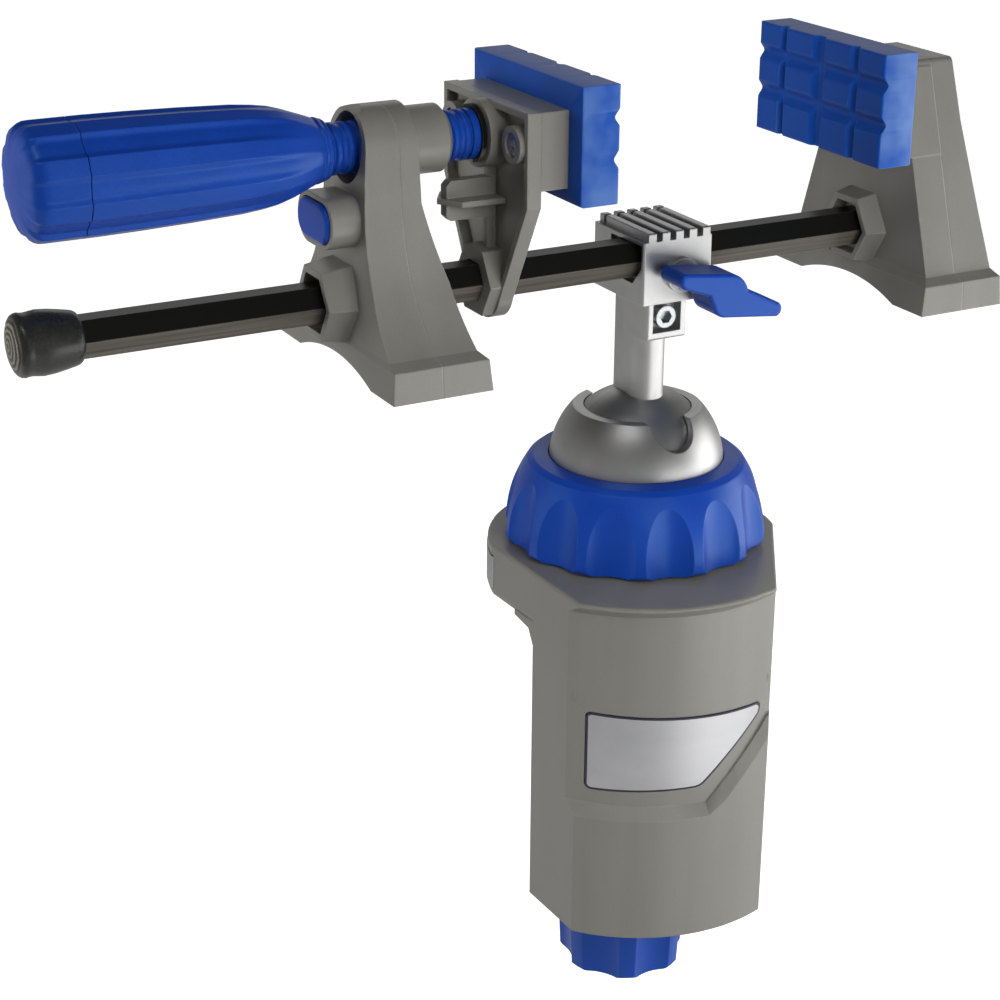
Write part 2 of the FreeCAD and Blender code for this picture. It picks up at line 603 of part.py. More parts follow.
def make_clamp_knob():
    top, low = s.knob_top, s.knob_bottom
    crown, foot = s.knob_crown, s.knob_foot
    outline = [(0, low + 2.2), (9, low + 2.2), (12, low), (foot - 1.6, low),
               ((foot - 0.4, low + 0.5), (foot, low + 1.8)), (crown, top - 4),
               ((crown - 0.8, top - 1.2), (crown - 3, top)), (0, top)]
    blank = turning("knob_blank", outline, "V_Axis")
    flutes = []
    lean = math.degrees(math.atan2(crown - foot, top - 4 - low))
    reach = foot - s.knob_cut_depth + s.knob_cut
    for number in range(int(s.knob_lobes)):
        angle = 28.9 + 360.0 * number / s.knob_lobes
        flute = rod("knob_flute_rod_%d" % number, "Z", (0, 0), "knob_cut", 0, "knob_top - knob_bottom - 2")
        turn = Rotation(Vector(0, 0, 1), angle)
        tilt = Rotation(Vector(0, 1, 0), lean)
        place = Placement(turn.multVec(Vector(reach, 0, low - 1)), turn.multiply(tilt))
        flutes.append(moved("knob_flute_%d" % number, flute, place))
    bore = rod("knob_bore", "Z", (0, 0), "screw_radius - 1", "knob_bottom + 12", "knob_top + 1")
    pin_hole = rod("knob_pin_hole", "X", (0, "knob_top - 8"), 1.5, -14, 14)
    node("clamp_knob", cut("knob_solid", blank, bore, pin_hole, *flutes), BASE)
    node("knob_pin", rod("knob_pin_rod", "X", (0, "knob_top - 8"), 1.5, -13.9, 13.9), BASE)


# The ball joint: a slotted cup turns in the base, and a split ball with a stem tilts in the cup.
def make_socket_cup():
    shell = cut("cup_shell", ball("cup_outside", "cup_radius"), ball("cup_inside", "cup_inner"))
    mouth = box("cup_mouth", ("-40", "40"), ("-40", "40"), ("cup_rim", 45))
    drain = rod("cup_drain", "Z", (0, 0), 12, -40, -15)
    notch_centre = s.notch_bottom + s.notch_radius
    notch_round = rod("notch_round", "Y", (0, notch_centre), "notch_radius", -40, 40)
    notch_slot = box("notch_slot", ("-notch_radius", "notch_radius"), (-40, 40),
                     (str(notch_centre), 45))
    node("socket_cup", cut("cup_solid", shell, mouth, drain, notch_round, notch_slot), BALL)


def stem_outline():
    """The stem's stadium section in plan: round front and back, flat sides."""
    half, flat = s.stem_half, s.stem_flat
    return [(half, -flat), (half, flat), ((0, flat + half), (-half, flat)),
            (-half, -flat), ((0, -flat - half), (half, -flat))]


STEM_FOOT = 20


def stem_top():
    return s.bar_height + s.bracket_low - s.ball_height


def make_ball_halves():
    screw_height = s.bar_height + s.stem_screw_z - s.ball_height
    for side, low, high in (("front", -60, s.split_y), ("back", s.split_y, 60)):
        stem = prism("stem_" + side, "XY_Plane", stem_outline(), STEM_FOOT, stem_top())
        sphere = ball("ball_sphere_" + side, "ball_radius")
        whole = joined("ball_whole_" + side, sphere, stem)
        slab = box("ball_slab_" + side, (-60, 60), (low, high), (-60, 80))
        half = shared("ball_half_" + side, whole, slab)
        hollow = ball("ball_hollow_" + side, "ball_hollow")
        hole = rod("stem_hole_" + side, "Y", (0, screw_height), 2.5, -20, 14.5 - s.bar_forward + 3)
        tools = [hollow, hole]
        if side == "back":
            pocket = nut_prism("stem_nut_pocket", 4.6, screw_height, 0.0)
            tools.append(pocket)
        node("ball_" + side, cut("ball_solid_" + side, half, *tools), BALL)
    nut = cut("stem_nut_solid", nut_prism("stem_nut_hex", 4.6, screw_height, 0.0),
              rod("stem_nut_bore", "Y", (0, screw_height), 2.5, -20, 20))
    node("stem_nut", nut, BALL)


def nut_prism(name, radius, height, grow):
    """The square space of the nut in the back half of the stem."""
    return box(name, (-radius - grow, radius + grow), ("split_y", "split_y + 3.2"),
               (height - radius - grow, height + radius + grow))


def make_stem_screw():
    floor = s.socket_front + s.window_depth
    head = rod("stem_screw_head", "Y", (0, "stem_screw_z"), 3.9, str(floor - 4), str(floor))
    shank = rod("stem_screw_shank", "Y", (0, "stem_screw_z"), 2.5, str(floor), "split_y + bar_forward + 3.2")
    socket = doc.addObject("Part::Prism", "stem_screw_socket")
    socket.Polygon = 6
    socket.Circumradius = 2.3
    socket.Height = 2.4
    socket.Placement = Placement(Vector(0, floor - 4.2, s.stem_screw_z), Rotation(Vector(1, 0, 0), -90))
    node("stem_screw", cut("stem_screw_solid", joined("stem_screw_blank", head, shank), socket), BAR)


def make_bar_bracket():
    block = box("bracket_block", ("-bracket_half", "bracket_half"), ("bracket_front", "bracket_back"),
                ("bracket_low", "bracket_top"))
    block = softened("bracket_soft", block, 0.8,
                     lambda c, e: e.Vertexes[0].Point.z != e.Vertexes[1].Point.z)
    ridges = []
    for number in range(int(s.ridge_count)):
        left = -s.bracket_half + 1.8 + number * s.ridge_pitch
        ridge = box("ridge_%d" % number, (left, left + s.ridge_width),
                    ("bracket_front", "bracket_back - 0.8"),
                    ("bracket_top - 0.8", "bracket_top + ridge_height"))
        ridges.append(softened("ridge_soft_%d" % number, ridge, 0.5,
                               lambda c, e: c.z > s.bracket_top + s.ridge_height - 0.1))
    socket = box("socket_block", ("-socket_half", "socket_half"), ("socket_front", "socket_back"),
                 ("socket_low", "bracket_low"))
    socket = softened("socket_soft", socket, 1.2, lambda c, e: c.y < s.socket_front + 0.1)
    boss = rod("stud_boss", "Y", ("lever_x", "lever_z"), "stud_boss", "bracket_front - 2.3", 0)
    blank = joined("bracket_blank", block, socket, boss, *ridges)
    passage = hexagon("bracket_passage", "-bracket_half - 1", "bracket_half + 1",
                      "(bar_flats / 2 + bar_slack) / cos(30)")
    window = box("socket_window", ("-window_half", "window_half"),
                 ("socket_front - 1", "socket_front + window_depth"), ("window_low", "window_high"))
    hole = rod("socket_hole", "Y", (0, "stem_screw_z"), 2.5, "socket_front", "socket_back")
    stud_bore = rod("stud_bore", "Y", ("lever_x", "lever_z"), "stud_radius + running_gap",
                    "bracket_front - 3", 0)
    stem = prism("bracket_stem", "XY_Plane",
                 [(x, y + s.bar_forward) if not isinstance(x, tuple) else
                  ((x[0], x[1] + s.bar_forward), (y[0], y[1] + s.bar_forward))
                  for x, y in stem_outline()],
                 "socket_low - 1", "bracket_low")
    cross = box("cross_groove", ("-bracket_half - 1", "bracket_half + 1"),
                ("bracket_back - 5", "bracket_back - 3.4"),
                ("bracket_top", "bracket_top + ridge_height + 1"))
    front, roof = s.bracket_front + 1.5, s.bracket_top - 1.4
    pocket = [(front, roof), (front, -1.5), (-5.0, -7.6), (5.0, -7.6), (9.5, 0), (9.5, roof)]
    pockets = [prism("side_pocket_%d" % number, "YZ_Plane", pocket, *ends)
               for number, ends in enumerate((("-bracket_half - 1", "-bracket_half + 3.5"),
                                              ("bracket_half - 3.5", "bracket_half + 1")))]
    node("bar_bracket", cut("bracket_solid", blank, passage, window, hole, stud_bore, stem, cross,
                            *pockets), BAR)


def make_clamp_shoe():
    pin = rod("shoe_pin", "Y", ("lever_x", "lever_z"), "stud_radius + running_gap", -9, 0)
    bar_space = hexagon("shoe_bar_space", -20, 20, "(bar_flats / 2 + bar_slack) / cos(30)")
    node("clamp_shoe", cut("shoe_solid", pin, bar_space), BAR)


# The bracket lever: a blue Z-shaped lever on a threaded stud that presses the shoe on the bar.
def make_bracket_lever():
    outline = [(-8.4, -1.6), ((-7.6, -0.2), (-6.0, 0.2)), (10.8, -2.0), ((15.8, -4.2), (18.2, -8.2)),
               (30.4, -14.2), ((32.2, -16.6), (30.2, -19.3)), (9.6, -16.9), ((6.2, -15.4), (4.6, -12.4)),
               (2.8, -8.6), (-6.6, -5.2), ((-8.2, -3.8), (-8.4, -1.6))]
    blade = prism("lever_blade", "XZ_Plane", outline, "lever_front", "lever_back")
    blade = softened("lever_soft", blade, 1.2, lambda c, e: c.y < s.lever_front + 0.1)
    stud_hole = rod("lever_hole", "Y", ("lever_x", "lever_z"), 2.6, "lever_back - 9", 0)
    node("bracket_lever", cut("lever_solid", blade, stud_hole), BAR)
    shank = rod("stud_thread", "Y", ("lever_x", "lever_z"), "stud_radius", "lever_back + 0.6", -9.3)
    root = rod("stud_root", "Y", ("lever_x", "lever_z"), 2.6, "lever_back - 9", "lever_back + 0.6")
    node("lever_stud", joined("stud_solid", shank, root), BAR)
    disc = rod("washer_disc", "Y", ("lever_x", "lever_z"), 5.2, "lever_back", "lever_back + 0.6")
    hole = rod("washer_hole", "Y", ("lever_x", "lever_z"), 2.6, "lever_back - 1", "lever_back + 1")
    node("lever_washer", cut("washer_solid", disc, hole), BAR)


# The bar: a black hexagonal bar with a rubber cap at one end and the fixed jaw at the other.
def make_hex_bar():
    bar = hexagon("hex_bar_prism", "bar_left", "bar_right", "bar_flats / 2 / cos(30)")
    bolt_hole = rod("bar_bolt_hole", "X", (0, 0), "bolt_radius", "bar_right - 18", "bar_right + 1")
    node("hex_bar", cut("hex_bar_solid", bar, bolt_hole), BAR)


def make_bar_end_cap():
    left, rim, big, small = s.cap_left, s.cap_rim, s.cap_big, s.cap_small
    outline = [(left, 0), ((left + 0.9, 4.6), (left + 3.4, big - 0.9)), (left + 4.4, big),
               (left + 6.2, big - 0.3), ((left + 9.5, big - 0.1), (left + 13, big - 0.5)),
               (rim - 3.6, small + 0.5), (rim - 1.2, small + 0.2), (rim, small - 0.7), (rim, 0)]
    blank = turning("cap_turned", outline, "H_Axis")
    space = hexagon("cap_space", "bar_left", "cap_rim + 1", "bar_flats / 2 / cos(30)")
    node("bar_end_cap", cut("cap_solid", blank, space), BAR)


# The supports: each is two moulded half shells on a wide arched foot.
def drive_side_outline(inset):
    """The drive support seen along the bar: foot, spreading legs and a round crown."""
    crown, crown_z = s.crown_radius - inset, s.spindle_z
    foot = s.foot_half - inset
    low = s.foot_bottom + inset
    right = [(foot, low), (foot - 0.6, s.foot_top - inset), (38.0 - inset, s.foot_top + 1.8)]
    outline = [(s.arch_half + inset, low)] + right
    outline += [((22.6 - inset, 8.0), (15.2 - inset, 36.0)), (crown, crown_z),
                ((0, crown_z + s.crown_rise - inset), (-crown, crown_z)), (-15.2 + inset, 36.0),
                ((-22.6 + inset, 8.0), (-38.0 + inset, s.foot_top + 1.8)),
                (-foot + 0.6, s.foot_top - inset), (-foot, low), (-s.arch_half - inset, low),
                ((0, s.arch_top + inset), (s.arch_half + inset, low))]
    return outline


def fixed_side_outline(inset):
    """The fixed support seen along the bar: the same foot, straight legs and a flat top."""
    foot, low, top = s.foot_half - inset, s.foot_bottom + inset, s.fixed_top - inset
    half, round_off = s.fixed_top_half - inset, 1.6
    cut_in = round_off * (1 - math.sqrt(0.5))
    right = [(foot, low), (foot - 0.6, s.foot_top - inset), (38.0 - inset, s.foot_top + 1.8),
             (half + 0.5, top - round_off), ((half + 0.2 - cut_in, top - cut_in), (half - round_off, top))]
    left = [(round_off - half, top), ((cut_in - half - 0.2, top - cut_in), (-half - 0.5, top - round_off)),
            (inset - 38.0, s.foot_top + 1.8), (0.6 - foot, s.foot_top - inset), (-foot, low),
            (-s.arch_half - inset, low), ((0, s.arch_top + inset), (s.arch_half + inset, low))]
    return [(s.arch_half + inset, low)] + right + left


def drive_front_outline(inset):
    """The drive support seen from the user's side; the jaw lies towards +X."""
    near = [(0, s.foot_bottom - 1), (0.8, s.foot_top), (1.4, s.foot_top + 1.8), (3.4, 10), (4.8, 40),
            (6.7, 59.4)]
    far = [(23.4, 64), (23.6, 40), (23.8, 32), (29.6, 8), (31.4, s.foot_top + 1.8),
           (33.2, s.foot_top), (s.support_width, s.foot_bottom - 1)]
    points = [(s.drive_left + depth + inset, height) for depth, height in near]
    points.append((s.drive_left + s.split_at, 64 - inset))
    return points + [(s.drive_left + depth - inset, height) for depth, height in far]


def fixed_front_outline(inset):
    """The fixed support seen from the user's side: above head_low it reaches in to the pad's back."""
    head_depth = s.fixed_right - s.fixed_face - s.pad_depth
    near = [(0, s.foot_bottom - 1), (0.8, s.foot_top), (1.4, s.foot_top + 1.8), (3.8, 10), (6.8, 39),
            (7.6, s.fixed_top + 2)]
    far = [(head_depth, s.fixed_top + 2), (head_depth, s.head_low + inset),
           (s.fixed_leg_depth, s.head_low + inset), (s.fixed_leg_depth, s.foot_top + 1.8),
           (33.2, s.foot_top), (s.support_width, s.foot_bottom - 1)]
    points = [(s.fixed_right - depth - inset, height) for depth, height in near]
    return points + [(s.fixed_right - depth + inset, height) for depth, height in far]


def support_blank(name, outer, inward, inset):
    """One support's outer form, or with an inset the hollow inside it; inward points to the jaw."""
    side_outline, front_outline = drive_side_outline, drive_front_outline
    if inward < 0:
        side_outline, front_outline = fixed_side_outline, fixed_front_outline
    ends = sorted((outer - inward * 1, outer + inward * (s.support_width + 6)))
    side = prism(name + "_side", "YZ_Plane", side_outline(inset), *ends)
    front = prism(name + "_front", "XZ_Plane", front_outline(inset), "-foot_half - 1", "foot_half + 1")
    return shared(name, side, front)


def support_screw_places():
    return [(s.foot_screw_y, s.foot_screw_z), (-s.foot_screw_y, s.foot_screw_z),
            (s.leg_screw_y, s.leg_screw_z), (-s.leg_screw_y, s.leg_screw_z)]


def half_slab(name, outer, inward, half):
    split = outer + inward * s.split_at
    if half == "outer":
        ends = sorted((outer - inward * 10, split))
    else:
        ends = sorted((split, outer + inward * (s.support_width + 12)))
    return box(name, (ends[0], ends[1]), (-60, 60), (-40, 80))


def screw_depths(inward, z):
    """Depths of a screw's tip, seat, head and way in; the leg is narrower than the foot."""
    if inward > 0:
        seat = 28.6 if z < 0 else 24.1
        return 6.0, seat, seat + 1.6, s.support_width + 3
    seat = 4.6 if z < 0 else 7.4
    return 27.0, seat, seat - 1.6, -3.0


def screw_stack(kind, outer, inward):
    """Screws that hold the two shells together, put in from the side away from the bar's nearer end."""
    pieces = []
    for number, (y, z) in enumerate(support_screw_places()):
        tip, seat, top, mouth = [outer + inward * depth for depth in screw_depths(inward, z)]
        shank = rod("%s_shank_%d" % (kind, number), "X", (y, z), "small_screw", *sorted((tip, seat)))
        head = rod("%s_head_%d" % (kind, number), "X", (y, z), "small_head", *sorted((seat, top)))
        pieces.append(joined("%s_screw_%d" % (kind, number), shank, head))
    return pieces


def screw_spaces(kind, outer, inward):
    """The space of each screw: its shank hole, its head and the way in above the head."""
    spaces = []
    for number, (y, z) in enumerate(support_screw_places()):
        tip, seat, top, mouth = [outer + inward * depth for depth in screw_depths(inward, z)]
        spaces.append(rod("%s_hole_%d" % (kind, number), "X", (y, z), "small_screw",
                          *sorted((tip, seat))))
        spaces.append(rod("%s_sink_%d" % (kind, number), "X", (y, z), "small_head",
                          *sorted((seat, mouth))))
    return spaces


def screw_bosses(kind, outer, inward):
    """Moulded pillars round the screws, inside the shells."""
    bosses = []
    leg_end = 22 if inward > 0 else s.fixed_leg_depth - 1
    for number, (y, z) in enumerate(support_screw_places()):
        start, end = (3, 29.6) if z < 0 else (5, leg_end)
        ends = sorted((outer + inward * start, outer + inward * end))
        bosses.append(rod("%s_pillar_%d" % (kind, number), "X", (y, z), 4.2, *ends))
    return bosses


def support_shells(kind, outer, inward, extras, spaces, keepers):
    """Both half shells of one support, from the same blank, hollow and screw places."""
    for half in ("outer", "inner"):
        tag = "%s_%s" % (kind, half)
        blank = support_blank(tag + "_blank", outer, inward, 0)
        cavity = support_blank(tag + "_cavity", outer, inward, s.shell)
        bar_wall = rod(tag + "_bar_wall", "X", (0, 0), "hex_boss", *sorted((outer, outer + inward * 34)))
        keep = [bar_wall] + [maker(tag) for maker in keepers]
        keep += screw_bosses(tag, outer, inward)
        hollow = cut(tag + "_hollow", cavity, *keep)
        shell = cut(tag + "_shell", blank, hollow)
        shell = joined(tag + "_with_bosses", shell, *[maker(tag) for maker in extras])
        slab = half_slab(tag + "_slab", outer, inward, half)
        piece = shared(tag + "_half", shell, slab)
        passage = hexagon(tag + "_passage", str(min(outer, outer + inward * 45) - 10),
                          str(max(outer, outer + inward * 45) + 10),
                          "(bar_flats / 2 + bar_slack) / cos(30)")
        tools = [passage] + screw_spaces(tag, outer, inward)
        tools += [maker(tag) for maker in spaces]
        node("%s_support_%s" % (kind, half), cut(tag + "_solid", piece, *tools), BAR)
    group = doc.addObject("Part::Compound", kind + "_screws")
    group.Links = screw_stack(kind, outer, inward)
    node(kind + "_support_screws", group, BAR)


def button_outline(grow):
    """The round-cornered oblong of the release button, seen along the bar."""
    half, rise, round_off = s.button_half + grow, s.button_rise + grow, s.button_round + grow
    middle, cut_in = s.button_z, round_off * (1 - math.sqrt(0.5))
    return [(half, middle - rise + round_off), (half, middle + rise - round_off),
            ((half - cut_in, middle + rise - cut_in), (half - round_off, middle + rise)),
            (round_off - half, middle + rise),
            ((cut_in - half, middle + rise - cut_in), (-half, middle + rise - round_off)),
            (-half, middle - rise + round_off),
            ((cut_in - half, middle - rise + cut_in), (round_off - half, middle - rise)),
            (half - round_off, middle - rise),
            ((half - cut_in, middle - rise + cut_in), (half, middle - rise + round_off))]


def make_drive_support():
    outer = s.drive_left

    def hex_boss(tag):
        return hex_taper(tag + "_hex_boss", "drive_boss_tip", "hex_boss", "drive_left + 4", "hex_boss_root")

    def bezel(tag):
        return prism(tag + "_bezel", "YZ_Plane", button_outline(s.bezel_rim), "bezel_tip", "drive_left + 8")

    def nut_wall(tag):
        return rod(tag + "_nut_wall", "X", (0, "spindle_z"), "nose_radius + 2.2",
                   "drive_left", "drive_left + 24")

    def nut_space(tag):
        return rod(tag + "_nut_space", "X", (0, "spindle_z"), "nose_radius", "nut_left", "drive_left + 30")

    def flange_space(tag):
        return rod(tag + "_flange_space", "X", (0, "spindle_z"), "nose_radius + 1.4",
                   "nut_left + 3", "nut_left + 7")

    def neck_space(tag):
        return rod(tag + "_neck_space", "X", (0, "spindle_z"), "neck_radius + 1",
                   "drive_left - 3", "nut_left")

    def button_space(tag):
        return prism(tag + "_button_space", "YZ_Plane", button_outline(0.3),
                     "bezel_tip - 3", "drive_left + 7")

    def plunger_space(tag):
        return rod(tag + "_plunger_space", "X", (0, "button_z"), "plunger_radius + 0.3",
                   "drive_left + 6", "drive_left + 11")

    def spring_wall(tag):
        return prism(tag + "_spring_wall", "YZ_Plane", button_outline(s.bezel_rim),
                     "drive_left + 2", "drive_left + 10")

    def plate_space(tag):
        return box(tag + "_plate_space", ("lock_left - 0.2", "lock_left + 7.2"), (-12.2, 12.2),
                   (-11.2, 31.4))

    def boss_mouth(tag):
        return hexagon(tag + "_boss_mouth", "drive_boss_tip - 1", "drive_boss_tip + mouth_depth", "boss_mouth")

    support_shells("drive", outer, 1, [hex_boss, bezel],
                   [boss_mouth, nut_space, flange_space, neck_space, button_space, plunger_space, plate_space],
                   [nut_wall, spring_wall])


def make_fixed_support():
    outer = s.fixed_right

    def hex_boss(tag):
        return hex_taper(tag + "_hex_boss", "fixed_boss_tip", "hex_boss",
                         "fixed_boss_tip + 8", "hex_boss_root")

    def head_lip(tag):
        """The head's side faces stand a little proud of the legs, so that a faint step shows."""
        grown = prism(tag + "_lip_outside", "YZ_Plane", fixed_side_outline(-s.head_proud),
                      "fixed_face + pad_depth", "fixed_right - split_at")
        core = prism(tag + "_lip_core", "YZ_Plane", fixed_side_outline(1.0),
                     "fixed_face + pad_depth - 1", "fixed_right")
        height = box(tag + "_lip_height", ("fixed_face", "fixed_right"), (-40, 40),
                     ("head_low", "fixed_top - 2"))
        return shared(tag + "_lip", cut(tag + "_lip_ring", grown, core), height)

    def bolt_space(tag):
        return joined(tag + "_bolt_space",
                      rod(tag + "_bolt_way", "X", (0, 0), "bolt_radius", "bar_right", "fixed_right + 2"),
                      rod(tag + "_bolt_sink", "X", (0, 0), 5.6, "bar_right + 4", "fixed_right + 2"))

    def carrier_screw_space(tag):
        spaces = []
        for number, z in enumerate(CARRIER_SCREW_HEIGHTS):
            spaces.append(rod(tag + "_carrier_way_%d" % number, "X", (0, z), 2.0,
                              "fixed_face + pad_depth", "fixed_right - 12"))
            spaces.append(rod(tag + "_carrier_sink_%d" % number, "X", (0, z), 3.6,
                              "fixed_right - 16", "fixed_right + 2"))
        return joined(tag + "_carrier_spaces", *spaces)

    def head_wall(tag):
        return box(tag + "_head_wall", ("fixed_face + pad_depth", "fixed_right - 8"),
                   (-9, 9), ("carrier_low", "carrier_high"))

    def boss_mouth(tag):
        return hexagon(tag + "_boss_mouth", "fixed_boss_tip - 1", "fixed_boss_tip + mouth_depth", "boss_mouth")

    support_shells("fixed", outer, -1, [hex_boss, head_lip],
                   [boss_mouth, bolt_space, carrier_screw_space], [head_wall])


CARRIER_SCREW_HEIGHTS = (40.0, 53.0)


def make_bar_end_bolt():
    shank = rod("bolt_shank", "X", (0, 0), "bolt_radius", "bar_right - 18", "bar_right + 4")
    head = rod("bolt_head", "X", (0, 0), 5.2, "bar_right + 4", "bar_right + 7.2")
    node("bar_end_bolt", joined("bolt_solid", shank, head), BAR)


def make_spindle_nut():
    outline = [(s.nut_left, s.spindle_radius + s.running_gap), (s.nut_left, s.nose_radius),
               (s.nut_left + 3, s.nose_radius), (s.nut_left + 3, s.nose_radius + 1.4),
               (s.nut_left + 7, s.nose_radius + 1.4), (s.nut_left + 7, s.nose_radius),
               (s.nose_tip - 1.6, s.nose_radius), (s.nose_tip, s.nose_radius - 1.6),
               (s.nose_tip, s.spindle_radius + s.running_gap)]
    turned_nut = turning("nut_turned", outline, "H_Axis")
    axis = Placement(Vector(0, 0, s.spindle_z), Rotation())
    node("spindle_nut", moved("spindle_nut_solid", turned_nut, axis), BAR)


def make_lock_plate():
    plate = box("lock_blank", ("lock_left", "lock_left + 3"), (-12, 12), (-11, 31))
    passage = hexagon("lock_passage", "lock_left - 1", "lock_left + 4",
                      "(bar_flats / 2 + bar_slack) / cos(30)")
    node("lock_plate", cut("lock_solid", plate, passage), BAR)


def make_release_button():
    cap = prism("button_cap", "YZ_Plane", button_outline(0), "button_face", "button_back")
    cap = softened("button_cap_soft", cap, 1.4, lambda c, e: c.x < s.button_face + 0.1)
    plunger = rod("button_plunger", "X", (0, "button_z"), "plunger_radius", "button_back",
                  "lock_left - 0.5")
    node("release_button", joined("button_solid", cap, plunger), BAR)


def make_release_spring():
    """A stack of thin cup springs round the plunger, between the button and a wall of the shell."""
    start = s.button_back + 0.4
    step, small, large, thick = 1.0, 4.9, 6.4, 0.4
    leaves = []
    for number in range(4):
        first, last = (small, large) if number % 2 == 0 else (large, small)
        low, high = start + number * step, start + (number + 1) * step
        outline = [(low, first), (high, last), (high + thick, last), (low + thick, first)]
        leaves.append(turning("spring_leaf_%d" % number, outline, "H_Axis"))
    axis = Placement(Vector(0, 0, s.button_z), Rotation())
    node("release_spring", moved("spring_solid", joined("spring_stack", *leaves), axis), BAR)


# The moving jaw: a ribbed plate that slides on the bar and is pushed by the spindle.
def make_movable_jaw():
    outline = [(s.jaw_half, s.jaw_shoulder), (s.jaw_half, s.jaw_high), (-s.jaw_half, s.jaw_high),
               (-s.jaw_half, s.jaw_shoulder), (-s.jaw_foot, -5.0),
               ((0, -12.9), (s.jaw_foot, -5.0))]
    left = "jaw_right - jaw_plate"
    plate = prism("jaw_plate_blank", "YZ_Plane", outline, left, "jaw_right")
    wall = 2.2
    inner = [(s.jaw_half - wall, s.jaw_shoulder + 0.6), (s.jaw_half - wall, s.jaw_high - wall),
             (-s.jaw_half + wall, s.jaw_high - wall), (-s.jaw_half + wall, s.jaw_shoulder + 0.6),
             (-s.jaw_foot + 1.8, -4.0), ((0, -10.8), (s.jaw_foot - 1.8, -4.0))]
    hollow = prism("jaw_plate_hollow", "YZ_Plane", inner, "jaw_right - jaw_plate - 1", "jaw_right - 1.6")
    tray = cut("jaw_tray", plate, hollow)
    hub = rod("jaw_hub", "X", (0, "spindle_z"), "hub_radius", "jaw_right - 8.4", "jaw_right")
    boss = hexagon("jaw_hex_boss", "jaw_right - 9", "jaw_right", "hex_boss - 0.3")
    pillars = [rod("jaw_pillar_%d" % number, "X", (side * s.jaw_screw_y, "spindle_z"), 6.0,
                   "jaw_right - 6.6", "jaw_right")
               for number, side in enumerate((-1, 1))]
    web = box("jaw_web", ("jaw_right - 4.6", "jaw_right - 1"), (-1.4, 1.4), (8, 40))
    fin = prism("jaw_fin", "XZ_Plane",
                [(s.jaw_right - 2, 21), (s.jaw_right - 18, 21), (s.jaw_right - 19.6, 22.6),
                 (s.jaw_right - 19.6, 32.4), (s.jaw_right - 18, 34), (s.jaw_right - 2, 34)], -2, 2)
    shelf = prism("jaw_shelf", "XY_Plane",
                  [(s.jaw_right - 2, 9), (s.jaw_right - 17, 8), (s.jaw_right - 22, 0),
                   (s.jaw_right - 17, -8), (s.jaw_right - 2, -9)], 26.6, 28.4)
    blank = joined("jaw_blank", tray, hub, boss, web, fin, shelf, *pillars)
    passage = hexagon("jaw_passage", "jaw_right - 20", "jaw_right + 1",
                      "(bar_flats / 2 + bar_slack) / cos(30)")
    bearing = rod("jaw_bearing", "X", (0, "spindle_z"), "spindle_radius + running_gap",
                  "jaw_right - 10", "spindle_right + 0.3")
    ways = [rod("jaw_screw_way_%d" % number, "X", (side * s.jaw_screw_y, "spindle_z"), 2.0,
                "jaw_right - 10", "jaw_right + 1")
            for number, side in enumerate((-1, 1))]
    sinks = [rod("jaw_screw_sink_%d" % number, "X", (side * s.jaw_screw_y, "spindle_z"), 3.9,
                 "jaw_right - 10", "jaw_right - 3.4")
             for number, side in enumerate((-1, 1))]
    node("movable_jaw", cut("jaw_solid", blank, passage, bearing, *ways, *sinks), BAR)


def star_socket(name, centre, x):
    """The recess of a screw head that a star key turns."""
    socket = doc.addObject("Part::Prism", name)
    socket.Polygon = 6
    socket.Circumradius = 1.9
    socket.Height = 1.4
    socket.Placement = Placement(Vector(x, centre[0], centre[1]), Rotation(Vector(0, 1, 0), 90))
    return socket


def make_jaw_screws():
    screws = []
    for number, side in enumerate((-1, 1)):
        place = (side * s.jaw_screw_y, "spindle_z")
        head = rod("jaw_screw_head_%d" % number, "X", place, 3.7, "jaw_right - 5.8", "jaw_right - 3.4")
        shank = rod("jaw_screw_shank_%d" % number, "X", place, 2.0, "jaw_right - 3.4", "jaw_right + 8")
        blank = joined("jaw_screw_blank_%d" % number, head, shank)
        socket = star_socket("jaw_screw_star_%d" % number, (side * s.jaw_screw_y, s.spindle_z),
                             s.jaw_right - 6)
        screws.append(cut("jaw_screw_%d" % number, blank, socket))
    group = doc.addObject("Part::Compound", "jaw_screw_pair")
    group.Links = screws
    node("jaw_screws", group, BAR)


def make_carriers():
    movable = box("movable_carrier_block", ("jaw_right", "jaw_right + carrier_depth + carrier_tenon"),
                  ("-carrier_half", "carrier_half"), ("carrier_low", "carrier_high"))
    movable_ways = [rod("movable_carrier_way_%d" % number, "X", (side * s.jaw_screw_y, "spindle_z"),
                        2.0, "jaw_right - 1", "jaw_right + 8")
                    for number, side in enumerate((-1, 1))]
    node("movable_carrier", cut("movable_carrier_solid", movable, *movable_ways), BAR)
    back = "fixed_face + pad_depth"
    fixed = box("fixed_carrier_block", (back + " - carrier_tenon", back),
                ("-carrier_half", "carrier_half"), ("carrier_low", "carrier_high"))
    fixed_ways = [rod("fixed_carrier_way_%d" % number, "X", (0, z), 2.0,
                      back + " - carrier_tenon + 1", "fixed_right")
                  for number, z in enumerate(CARRIER_SCREW_HEIGHTS)]
    node("fixed_carrier", cut("fixed_carrier_solid", fixed, *fixed_ways), BAR)
    screws = []
    for number, z in enumerate(CARRIER_SCREW_HEIGHTS):
        shank = rod("carrier_screw_shank_%d" % number, "X", (0, z), 2.0,
                    back + " - carrier_tenon + 1", "fixed_right - 16")
        head = rod("carrier_screw_head_%d" % number, "X", (0, z), 3.5,
                   "fixed_right - 16", "fixed_right - 13.4")
        screws.append(joined("carrier_screw_%d" % number, shank, head))
    group = doc.addObject("Part::Compound", "carrier_screw_pair")
    group.Links = screws
    node("fixed_carrier_screws", group, BAR)


